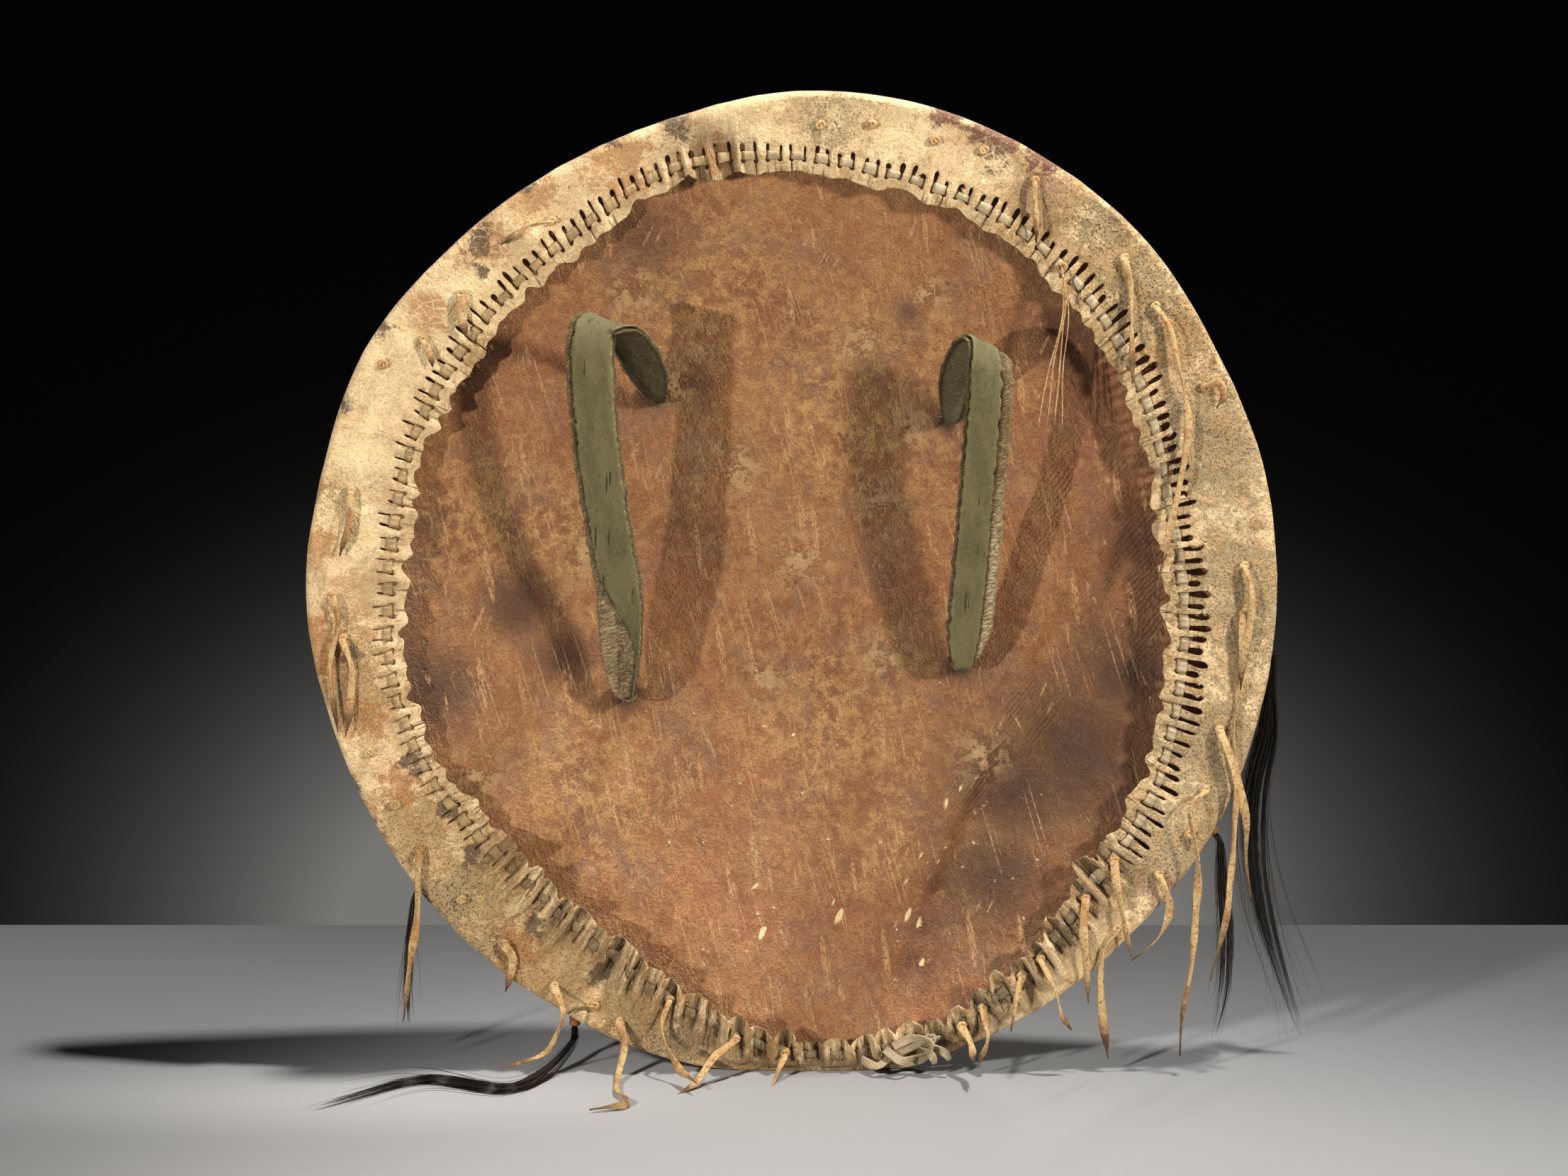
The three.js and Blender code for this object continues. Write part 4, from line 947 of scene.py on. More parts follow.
def rim_spots(places, table):
    """The same for spots given as [angle in degrees, share of the rim, size]."""
    turned = []
    for angle, reach, size in table:
        a = math.radians(angle)
        turned.append((reach * math.cos(a), reach * math.sin(a), size))
    return spots(places, turned)


def rod(x, z, radius, near, far):
    """A short closed rod along Y, to cut a hole with."""
    line = np.array([[x, near, z], [x, (near + far) / 2, z], [x, far, z]])
    return sweep(line, [oval(2 * radius, 2 * radius, 12)] * 3, (1, 0, 0))


# Straps: the place of each slit as [across, up] in shares of the half sizes, how far the loop
# stands out, and the loop's points as shares of the way from slit to slit, of the stand and of
# that way sideways. Then the fold at the lower and the upper end and the twist, in radians, the
# cloth's share of its full width and its shift, and how far the lower end is bare and scraped.
STRAPS = {
    "left": {
        "lower": (-0.346, -0.22),
        "upper": (-0.276, 0.398),
        "stand": 0.058,
        "path_shares": (
            (0.2, 0.3, -0.029), (0.375, 0.49, -0.055), (0.588, 0.68, -0.11),
            (0.76, 0.82, -0.15), (0.948, 0.94, -0.188), (1.12, 1, -0.215), (1.2, 1, -0.22),
            (1.245, 0.94, -0.21), (1.24, 0.82, -0.165), (1.18, 0.6, -0.1), (1.09, 0.38, -0.045),
        ),
        "fold": (0.62, 0.15),
        "twist": 0.9,
        "cloth": (1.0, 0.0012),
        "bare": 1.0,
        "scraped": 0.35,
    },
    "right": {
        "lower": (0.354, -0.155),
        "upper": (0.327, 0.352),
        "stand": 0.047,
        "path_shares": (
            (0.18, 0.34, 0.033), (0.454, 0.57, 0.07), (0.712, 0.78, 0.099),
            (0.97, 0.94, 0.128), (1.17, 1, 0.15), (1.26, 0.99, 0.15),
            (1.31, 0.9, 0.14), (1.3, 0.76, 0.11), (1.23, 0.54, 0.07), (1.11, 0.36, 0.03),
        ),
        "fold": (0.2, 0.3),
        "twist": -0.8,
        "cloth": (0.8, -0.0027),
        "bare": 0.0,
        "scraped": 1.0,
    },
}
STRAP_HIDE_THICKNESS = 0.003
STRAP_CLOTH_THICKNESS = 0.0015
STRAP_GAP = 0.0004
STRAP_THICKNESS = STRAP_HIDE_THICKNESS + STRAP_GAP + STRAP_CLOTH_THICKNESS
STRAP_END_WIDTH = 0.0124
STRAP_CLOTH_WIDTH = 0.021
STRAP_START = 0.0039
STRAP_NECK = 0.006
SLIT_CLEARANCE = 0.0004


def strap_frame(plan):
    """The slits of a strap, and the ways along, out of and beside the line between them."""

    def place(shares):
        x, z = shares
        turn = np.array([math.atan2(z, x) / math.tau])
        flat = np.array([x * HALF_WIDTH, 0, z * HALF_HEIGHT])
        share = np.linalg.norm(flat) / reach_of(RIM, turn)[0]
        flat[1] = dish_back(share) - AXIS_HEIGHT
        return flat

    lower = place(plan["lower"])
    upper = place(plan["upper"])
    along = upper - lower
    reach = np.linalg.norm(along)
    along = along / reach
    out = np.array([0, -1, 0]) + along * along[1]
    out = out / np.linalg.norm(out)
    return lower, upper, along, out, np.cross(along, out), reach


class SHIELD_OT_rawhide(bpy.types.Operator):
    """Dished rawhide disc, with its creases, strap slits and pinhole"""

    bl_idname = "shield.rawhide"
    bl_label = "Rawhide disc"

    RING_COUNT = 96
    COLUMN_COUNT = 384
    ROUNDING = 0.0016
    PINHOLE_RADIUS = 0.0011
    FRONT_SHARES = (1.0, 0.94, 0.75, 0.5, 0.25)

    # The crease, the straight line that it keeps near to, and the ridge and hollow along it.
    CREASE_SHARES = (
        (0.52, -0.1), (0.47, -0.24), (0.385, -0.41), (0.33, -0.51), (0.285, -0.63), (0.26, -0.76),
    )
    CREASE_LEAN = 0.434
    CREASE_PLACE = 0.1437
    RIDGE_HEIGHT = 0.002
    RIDGE_WIDTH = 0.005
    HOLLOW_DEPTH = 0.0065
    HOLLOW_WIDTH = 0.026

    # The spots of each kind of mark, painted shade among them, as [across, up, size] in shares of
    # the half sizes.
    MARK_SHARES = {
        "tan": (
            (0.39, -0.55, 0.06), (0.36, -0.66, 0.07), (0.2, -0.52, 0.09), (-0.64, 0.15, 0.14),
            (-0.42, -0.4, 0.18), (-0.2, 0.62, 0.2), (-0.5, 0.1, 0.14), (0.15, 0.35, 0.25),
            (0.1, -0.3, 0.2),
        ),
        "ruddy": (
            (0.6, 0.3, 0.2), (0.62, -0.25, 0.2), (0.25, 0.1, 0.25), (-0.55, 0.45, 0.2),
            (0.1, -0.65, 0.3),
        ),
        # Soil and grease, with painted shade along the right side of the crease, in the left strap's
        # shadow and round the strap slits.
        "grime_and_shade": (
            (0.41, -0.42, 0.05), (0.31, -0.63, 0.035), (0.285, -0.71, 0.045), (0.27, -0.79, 0.05),
            (-0.57, -0.03, 0.06), (-0.49, -0.14, 0.05), (-0.2, 0.42, 0.04), (-0.276, 0.39, 0.05),
            (0.327, 0.345, 0.045), (-0.346, -0.23, 0.05), (0.354, -0.165, 0.045),
            (0.72, 0.1, 0.1), (-0.3, 0.72, 0.1), (0.55, 0.52, 0.08), (0.24, 0.56, 0.03),
        ),
        "flaked": (
            (-0.33, 0.61, 0.05), (0.02, 0.05, 0.06), (0.18, 0.17, 0.05), (-0.12, 0.25, 0.07),
            (-0.18, 0.5, 0.04), (0.14, 0.5, 0.05), (0.4, -0.35, 0.05), (-0.42, 0.07, 0.06),
            (0.28, 0.6, 0.04), (-0.24, 0.42, 0.05), (0.24, 0.32, 0.05), (-0.65, -0.38, 0.05),
            (-0.06, -0.2, 0.05), (0.2, -0.15, 0.05),
        ),
        # Painted shade: in the left strap's shadow, in the sunk part past the crease and on the right
        # and left sides.
        "painted_shade": (
            (-0.57, -0.04, 0.07), (-0.46, -0.15, 0.05), (0.47, -0.42, 0.15), (0.6, -0.34, 0.18),
            (0.42, -0.6, 0.13), (0.69, -0.18, 0.12), (-0.74, -0.2, 0.1),
        ),
        "wrinkled": (
            (0.66, 0.14, 0.16), (0.72, -0.02, 0.12), (0.5, -0.28, 0.09), (0.4, -0.42, 0.08),
        ),
        "chipped": (
            (0.357, -0.45, 0.036), (0.29, -0.58, 0.03), (0.265, -0.64, 0.036),
            (0.246, -0.7, 0.026), (-0.084, -0.61, 0.02), (-0.166, -0.727, 0.03),
            (-0.06, -0.73, 0.022), (0.08, -0.67, 0.034),
        ),
        # Painted shade in the open ends of the strap slits, just below each strap.
        "holes": (
            (-0.344, -0.232, 0.022), (0.35, -0.17, 0.024), (-0.278, 0.388, 0.022),
            (0.322, 0.34, 0.024),
        ),
        "flecks": ((-0.2, -0.5, 0.3), (0.25, -0.6, 0.35), (0.0, -0.3, 0.3), (-0.25, -0.7, 0.25)),
    }

    def relief(self, flat):
        """How far the back stands out towards the bearer, from warps, creases and dents."""
        places = [(x * HALF_WIDTH, 0, z * HALF_HEIGHT) for x, z in self.CREASE_SHARES]
        away = np.full(len(flat), 1.0)
        for x, _, z in open_line(places, 2 * MM):
            away = np.minimum(away, np.hypot(flat[:, 0] - x, flat[:, 1] - z))
        beside = flat[:, 0] - self.CREASE_LEAN * flat[:, 1] - self.CREASE_PLACE
        ridge = self.RIDGE_HEIGHT * bell(away, 0, self.RIDGE_WIDTH)
        ridge = ridge * (1 + 0.3 * waves(flat, 0.02, 20))
        hollow = -self.HOLLOW_DEPTH * bell(away, 0, self.HOLLOW_WIDTH) * ease(0.45 + beside / 0.014)
        warp = 1.4 * MM * waves(flat, 0.15, 21) + 0.6 * MM * waves(flat, 0.055, 22)
        dents = 0.18 * MM * waves(flat, 0.02, 23) + 0.08 * MM * waves(flat, 0.008, 24)
        wrinkled = spots(np.insert(flat, 1, 0, axis=1), self.MARK_SHARES["wrinkled"])
        along_wrinkle = 0.25 * (flat @ np.array([-0.6, 0.8]))
        across_wrinkle = np.column_stack([flat @ np.array([0.8, 0.6]), along_wrinkle])
        wrinkles = 0.5 * MM * wrinkled * waves(across_wrinkle, 0.012, 25)
        return ridge + hollow + warp + dents + wrinkles

    def execute(self, context):
        sides = self.COLUMN_COUNT
        turns = np.arange(sides) / sides
        reach = reach_of(RIM, turns)
        edge = COVER_THICKNESS + RIM_CLEARANCE

        def ring(share):
            """A flat ring inside the rounded edge, and where its points lie on the way out."""
            flat = from_rim(turns, reach - share * (reach - edge - self.ROUNDING), 0, edge)
            return flat, np.hypot(flat[:, 0], flat[:, 2]) / reach

        rows = []
        for share in np.linspace(0, 1, self.RING_COUNT)[1:]:
            flat, out_share = ring(share)
            fade = ease((1 - share) / 0.08)
            flat[:, 1] = dish_back(out_share) - fade * self.relief(flat[:, [0, 2]])
            rows.append(flat)
        for y in (dish_back(1) + self.ROUNDING, dish_front(1) - self.ROUNDING):
            rows.append(from_rim(turns, edge, y, edge))
        for share in self.FRONT_SHARES:
            flat, out_share = ring(share)
            flat[:, 1] = dish_front(out_share)
            rows.append(flat)
        middles = [
            [0, dish_back(0) - self.relief(np.zeros((1, 2)))[0], 0],
            [0, dish_front(0), 0],
        ]
        back = len(rows) * sides
        faces = [face[::-1] for face in wall(len(rows), sides)]
        faces += fan(back, 0, sides)
        faces += [face[::-1] for face in fan(back + 1, back - sides, sides)]
        piece = new_object("rawhide_disc_surface", np.vstack([*rows, middles]), faces)
        cutters = [rod(0.002, 0.0005, self.PINHOLE_RADIUS, -DISH_DEPTH, DISH_DEPTH)]
        half = STRAP_END_WIDTH / 2 + SLIT_CLEARANCE
        high = STRAP_THICKNESS / 2 + SLIT_CLEARANCE
        section = np.array([[-half, -high], [half, -high], [half, high], [-half, high]])
        for plan in STRAPS.values():
            lower, upper, _, out, side, _ = strap_frame(plan)
            for slit in (lower, upper):
                line = np.array([slit + out * step for step in (0.004, 0, -0.02)])
                cutters.append(sweep(line, [section] * 3, side))
        subtract(piece, cutters)
        places = corners_of(piece)
        for name, table in self.MARK_SHARES.items():
            add_field(piece, name, spots(places, table))
        dress(piece, "smoked_rawhide", "rawhide_disc", body="shield")
        return {"FINISHED"}


class SHIELD_OT_cover(bpy.types.Operator):
    """Hide cover: painted front, rolled rim, and flange with its slits, scallops and gathers"""

    bl_idname = "shield.cover"
    bl_label = "Hide cover"

    EDGE_STEPS = (0.0, 0.1, 0.3, 0.6)
    SLIT_STEPS = (0.0, 0.05, 0.15, 0.3, 0.45, 0.6, 0.75, 0.88, 0.96, 1.0)
    SLIT_SHAPE = (0.25, 0.8, 0.95, 0.8, 0.75, 0.85, 1.0, 0.95, 0.6, 0.2)
    PLAIN_STEPS = (0.05, 0.12, 0.2, 0.3, 0.4, 0.5, 0.6, 0.7, 0.8, 0.9, 1.0)
    PLAIN_HALF_SHARE = 0.2
    BAR_SHARES = (0.34, 0.66)
    ROLL_ANGLES = (18, 36, 54, 72, 90)
    FRONT_SHARES = (
        0.97, 0.94, 0.9, 0.86, 0.82, 0.78, 0.73, 0.68, 0.62, 0.56, 0.5, 0.44, 0.38, 0.32, 0.26,
        0.2, 0.14, 0.08,
    )
    BARE_HOLES = ((52.6, 0.965), (118.6, 0.955), (112.6, 0.968), (101.5, 0.975), (94.1, 0.972))
    BARE_HOLE_RADIUS = 0.00115

    # The spots of each kind of stain, of the painted light and shade, and of the paint that comes
    # over the rim, as [angle in degrees, share of the rim, size].
    STAIN_SPOTS = {
        "rust": (
            (131, 0.95, 0.07), (123, 0.97, 0.06), (112, 0.93, 0.08), (186, 0.985, 0.08),
            (196, 0.93, 0.06), (174, 0.97, 0.05), (206, 0.9, 0.05), (100, 0.9, 0.05),
            (142, 0.93, 0.05), (232, 0.93, 0.06),
        ),
        "soil": (
            (131.5, 0.955, 0.036), (123, 0.985, 0.022), (104, 0.965, 0.034), (134, 0.905, 0.022),
            (204, 0.855, 0.03), (147, 0.985, 0.02), (112, 0.99, 0.024), (212, 0.84, 0.026),
            (188, 0.9, 0.014), (157, 0.985, 0.022), (187.5, 0.915, 0.02), (219, 0.85, 0.028),
            (232, 0.865, 0.03), (309, 0.9, 0.04), (298, 0.93, 0.035), (243, 0.885, 0.03),
        ),
        # Paler hide and painted light, at the top, upper left and left.
        "pale_and_painted_light": (
            (78, 0.95, 0.1), (95, 0.96, 0.09), (110, 0.95, 0.1), (136, 0.9, 0.13),
            (150, 0.95, 0.13), (122, 0.93, 0.1), (172, 0.94, 0.1), (162, 0.95, 0.1),
            (196, 0.985, 0.05), (65, 0.94, 0.06), (85, 0.965, 0.03), (127.5, 0.95, 0.03),
        ),
        # Smoke stains, and painted shade on the left, lower left, bottom and upper right.
        "smoke_and_shade": (
            (187, 0.91, 0.08), (222, 0.93, 0.15), (236, 0.94, 0.15), (212, 0.92, 0.12),
            (250, 0.95, 0.12), (193, 0.93, 0.09), (57, 0.95, 0.11), (45, 0.95, 0.12),
            (34, 0.95, 0.1), (268, 0.96, 0.1), (168, 0.97, 0.06),
        ),
        "grey": (
            (50, 0.97, 0.06), (230, 0.97, 0.06), (20, 0.93, 0.17), (0, 0.92, 0.17),
            (340, 0.93, 0.16), (325, 0.94, 0.14), (40, 0.93, 0.1), (85, 0.95, 0.07),
            (255, 0.97, 0.08), (290, 0.97, 0.08), (222, 0.95, 0.07),
        ),
        "pink": ((321, 1.0, 0.06), (58, 0.96, 0.06)),
    }
    PAINT_SPOTS = {
        "red": (
            (66, 1.01, 0.062), (60, 1.02, 0.05), (72, 1.02, 0.04), (10, 1.005, 0.014),
            (352, 1.01, 0.013),
        ),
        "green": (
            (203, 1.012, 0.035), (209, 1.012, 0.04), (215, 1.012, 0.04), (221, 1.01, 0.035),
            (197, 1.01, 0.03),
        ),
    }

    # The painted fields of the front: which way each lies from the middle, and how far.
    PAINT_FIELDS = {"red": ((0.62, 0.78), 0.42), "green": ((-0.75, -0.66), 0.5)}

    def slit_rows(self, sizes):
        """For each row, how far each column lies from the free edge and along the ring."""
        slit = np.arange(SLITS)
        turns = slit / SLITS
        lace = lace_at(turns)
        random = np.random.default_rng(31)
        inner = lace - LACE_WIDTH / 2 - SLIT_MARGIN
        length = SLIT_LENGTH * around(SLIT_LENGTH_SHARES, turns) * random.uniform(0.62, 1.14, SLITS)
        length = length * (1 - 0.35 * bell(turns, *SHORT_SLIT_SHARES))
        outer = np.minimum(lace + length, band_at(turns) - BAND_MARGIN)
        start = flange_width(turns) - FLANGE_START
        line_reach = reach_of(OPENING, turns) + lace
        half = sizes.slit_width / 2 / (math.tau * line_reach / SLITS)
        half = half * (1 - 0.42 * gathered(turns, PUCKER_END_SHARE))
        beyond = around(SLIT_WIDTH_SHARES, turns) * random.uniform(0.6, 1.2, SLITS)
        plain_half = np.full(SLITS, self.PLAIN_HALF_SHARE)
        closed = np.zeros(SLITS, bool)
        rows = []
        for step in self.EDGE_STEPS:
            blend = ease(np.full(SLITS, step / 0.9))
            width = np.where(CUT, 0.25 * half, plain_half + (0.25 * half - plain_half) * blend)
            rows.append((inner * step, width, 0, CUT))
        for step, shape in zip(self.SLIT_STEPS, self.SLIT_SHAPE):
            past_lace = ease(np.full(SLITS, (step - 0.3) / 0.2))
            width = half * shape * (1 + (beyond - 1) * past_lace)
            is_open = ~closed if step < 1 else closed
            rows.append((inner + step * (outer - inner), width, SLANT * step, is_open))
        for step in self.PLAIN_STEPS:
            blend = ease(np.full(SLITS, step / 0.3))
            width = 0.2 * half + (plain_half - 0.2 * half) * blend
            rows.append((outer + step * (start - outer), width, SLANT * (1 - blend), closed))
        return rows

    def flange_rows(self, sizes):
        """Rings of the flange, four columns to a slit, and which slits are open after each."""
        slit = np.arange(SLITS)
        rows = []
        open_rows = []
        for from_edge, half, slant, is_open in self.slit_rows(sizes):
            onward = np.roll(from_edge, -1) - from_edge
            columns = [(slit + slant - half, from_edge), (slit + slant + half, from_edge)]
            columns += [(slit + share, from_edge + onward * share) for share in self.BAR_SHARES]
            turns = np.column_stack([place for place, _ in columns]).ravel() / SLITS
            distance = np.column_stack([way for _, way in columns]).ravel()
            rows.append(flange_points(turns, distance, sizes))
            open_rows.append(is_open)
        return rows, open_rows

    def rim_rows(self, turns, reach):
        """Rings round the rim and over the front, towards its middle."""
        rows = []
        wobble = np.abs(0.3 * MM * waves(circle(turns), 0.05, 33))
        for angle in self.ROLL_ANGLES:
            a = math.radians(angle)
            inset = FLANGE_START * (1 - math.sin(a)) + wobble * math.sin(a)
            rows.append(from_rim(turns, inset, RIM_BACK + (FLANGE_FACE - RIM_BACK) * math.cos(a)))
        for share in (0.5, 1.0):
            rows.append(from_rim(turns, wobble, RIM_BACK + (RIM_FRONT - RIM_BACK) * share))
        front_edge = cover_outside(1 - FLANGE_START / reach)
        for angle in (*self.ROLL_ANGLES[1::2], 90):
            a = math.radians(angle)
            inset = FLANGE_START * (1 - math.cos(a))
            rows.append(from_rim(turns, inset, RIM_FRONT + (front_edge - RIM_FRONT) * math.sin(a)))
        for share in self.FRONT_SHARES:
            flat = from_rim(turns, (1 - share) * reach, 0)
            inside = ease((1 - share) / 0.1)
            uneven = 0.7 * MM * waves(flat[:, [0, 2]], 0.07, 34) * inside
            flat[:, 1] = cover_outside(share) + uneven - 0.4 * MM * inside
            rows.append(flat)
        return rows

    def add_marks(self, piece):
        """Marks where the hide is stained, painted, worn at its edge and bunched up, and where light
        and shade are painted on it.
        """
        places = corners_of(piece)
        for name, table in self.STAIN_SPOTS.items():
            add_field(piece, name, rim_spots(places, table))
        front = ease((places[:, 1] - RIM_FRONT) / (6 * MM))
        back = 1 - front
        flat = places[:, [0, 2]] / HALF_WIDTH
        for name, (way, start) in self.PAINT_FIELDS.items():
            painted_field = ease((flat @ np.array(way) - start) / 0.06)
            over_rim = rim_spots(places, self.PAINT_SPOTS[name])
            add_field(piece, name, np.maximum(over_rim, front * painted_field * 0.85))
        turn = turn_of(places)
        past = np.hypot(places[:, 0], places[:, 2]) - reach_of(OPENING, turn)
        from_edge = np.clip(past, 0, 1)
        near_edge = 1 - ease((past - 6 * MM) / (30 * MM))
        height, gather = bunched_at(turn, from_edge)
        gathers = back * np.minimum(gather, 1) * near_edge
        add_field(piece, "edge", back * bell(from_edge, 0, 5 * MM))
        add_field(piece, "gathers", gathers)
        # Soil and painted shade, low between the puckers of the gathers.
        add_field(piece, "hollow_soil_and_shade", gathers * ease((0.34 - height) / 0.3))

    def execute(self, context):
        rows, open_rows = self.flange_rows(context.scene.shield_sizes)
        half = self.PLAIN_HALF_SHARE
        offsets = np.array([-half, half, *self.BAR_SHARES])
        turns = (np.arange(SLITS)[:, None] + offsets).ravel() / SLITS
        rows += self.rim_rows(turns, reach_of(RIM, turns))
        count = len(turns)
        kept = np.ones((len(rows) - 1, count), bool)
        kept[: len(open_rows), :: len(offsets)] = ~np.array(open_rows)
        faces = wall(len(rows), count, turned=True)
        faces = [face for face, stays in zip(faces, kept.ravel()) if stays]
        middle = len(rows) * count
        faces += [face[::-1] for face in fan(middle, middle - count, count)]
        vertices = np.vstack([*rows, [[0, cover_outside(0), 0]]])
        piece = new_object("hide_cover_surface", vertices, faces)
        shell = piece.modifiers.new("thickness", "SOLIDIFY")
        shell.thickness = COVER_THICKNESS
        shell.offset = -1
        apply_modifiers(piece)
        holes = []
        for place in self.BARE_HOLES:
            x, _, z = place_of(place)
            ends = (FLANGE_FACE - 4 * MM, FLANGE_FACE + 3.2 * MM)
            holes.append(rod(x, z, self.BARE_HOLE_RADIUS, *ends))
        subtract(piece, holes)
        self.add_marks(piece)
        dress(piece, "tanned_hide", "hide_cover", body="shield")
        return {"FINISHED"}


KNOT_SLIT = 2 * round(KNOT_SHARE * STITCHES) + 1


class SHIELD_OT_lacing(bpy.types.Operator):
    """Thong woven through the slits, and the knot of its ends at the gathers"""

    bl_idname = "shield.lacing"
    bl_label = "Lacing"

    STEPS_A_SLIT = 9
    SIDES = 10

    # The ways of the knot's strands, as [slits along, millimetres out, millimetres up].
    KNOT_STRANDS = (
        ((-3.6, 2, -3), (-2.4, 5, -5), (-1.2, 6, -2), (0.2, 7, 0), (1.6, 5, 2), (2.6, 3, 0)),
        ((-1.8, 5, 2), (-0.6, 9, -3), (0.6, 8, -6), (1.7, 6, -3), (2.2, 5, 2), (1.2, 6, 4)),
        ((-1.2, 6, 3), (0.4, 9, 5), (1.9, 8, 1), (1.5, 6, -6), (0.2, 5, -9), (-1.4, 4, -8)),
        ((1.2, 7, 0), (2.4, 7, -4), (3.1, 5, -9), (3.4, 4, -13)),
        ((0.9, 7, -1), (1.9, 9, -6), (2.2, 8, -12)),
    )

    def add_wear(self, piece, soiled=1.0):
        """Marks where the thong is grey from handling and where it is dark in the gathers."""
        turns = turn_of(corners_of(piece))
        add_field(piece, "gathers", soiled * gathered(turns))
        add_field(piece, "grey", ease(0.5 + 1.4 * np.cos(math.tau * turns)))

    def make_thong(self, sizes):
        steps = SLITS * self.STEPS_A_SLIT - self.STEPS_A_SLIT // 2
        turns = (KNOT_SLIT + 0.25 + np.arange(steps) / self.STEPS_A_SLIT) / SLITS
        lace = lace_at(np.mod(turns, 1))
        over = ease((over_bar(turns) + 0.62) / 1.24)
        front = -LACE_GAP - LACE_THICKNESS / 2
        behind = COVER_THICKNESS + LACE_GAP + LACE_THICKNESS / 2
        lift = behind + (front - behind) * over
        uneven = 1 + 0.1 * waves(circle(turns), 0.03, 41)
        lines = []
        for angle in np.arange(self.SIDES) * math.tau / self.SIDES:
            side = math.cos(angle) * LACE_WIDTH / 2 * 0.94
            out = math.sin(angle) * LACE_THICKNESS / 2 * 0.95
            line = flange_points(turns, lace + side * uneven, sizes, ripple=0.75)
            line[:, 1] += lift - out + 0.25 * MM * over * math.cos(angle) ** 2
            lines.append(line)
        corner = np.arange(self.SIDES)
        faces = wall(steps, self.SIDES, turned=True)
        faces.append(corner.tolist())
        faces.append(((steps - 1) * self.SIDES + corner[::-1]).tolist())
        vertices = np.stack(lines, axis=1).reshape(-1, 3)
        thong = new_object("lacing_thong_surface", vertices, faces)
        self.add_wear(thong)
        dress(thong, "buckskin_thong", "lacing_thong", body="shield")

    def make_knot(self, sizes):
        parts = []
        for number, strand in enumerate(self.KNOT_STRANDS):
            points = []
            for slits, out, up in strand:
                points.append(seat_on_lace(KNOT_SLIT + slits, sizes) + np.array([0, -out, up]) * MM)
            line = open_line(points, 1.2 * MM)
            along = along_line(line)
            turn = 0.9 * np.sin(along * 5 + number)
            sections = [
                oval(LACE_WIDTH * (0.95 - 0.4 * a**6), 1.7 * MM, self.SIDES, 0.7 * MM, t)
                for a, t in zip(along, turn)
            ]
            parts.append(sweep(line, sections, (0, 0, -1)))
        knot = new_object("lacing_knot_surface", *joined(parts))
        self.add_wear(knot, 0.35)
        dress(knot, "buckskin_thong", "lacing_knot", body="shield")

    def execute(self, context):
        self.make_thong(context.scene.shield_sizes)
        self.make_knot(context.scene.shield_sizes)
        return {"FINISHED"}


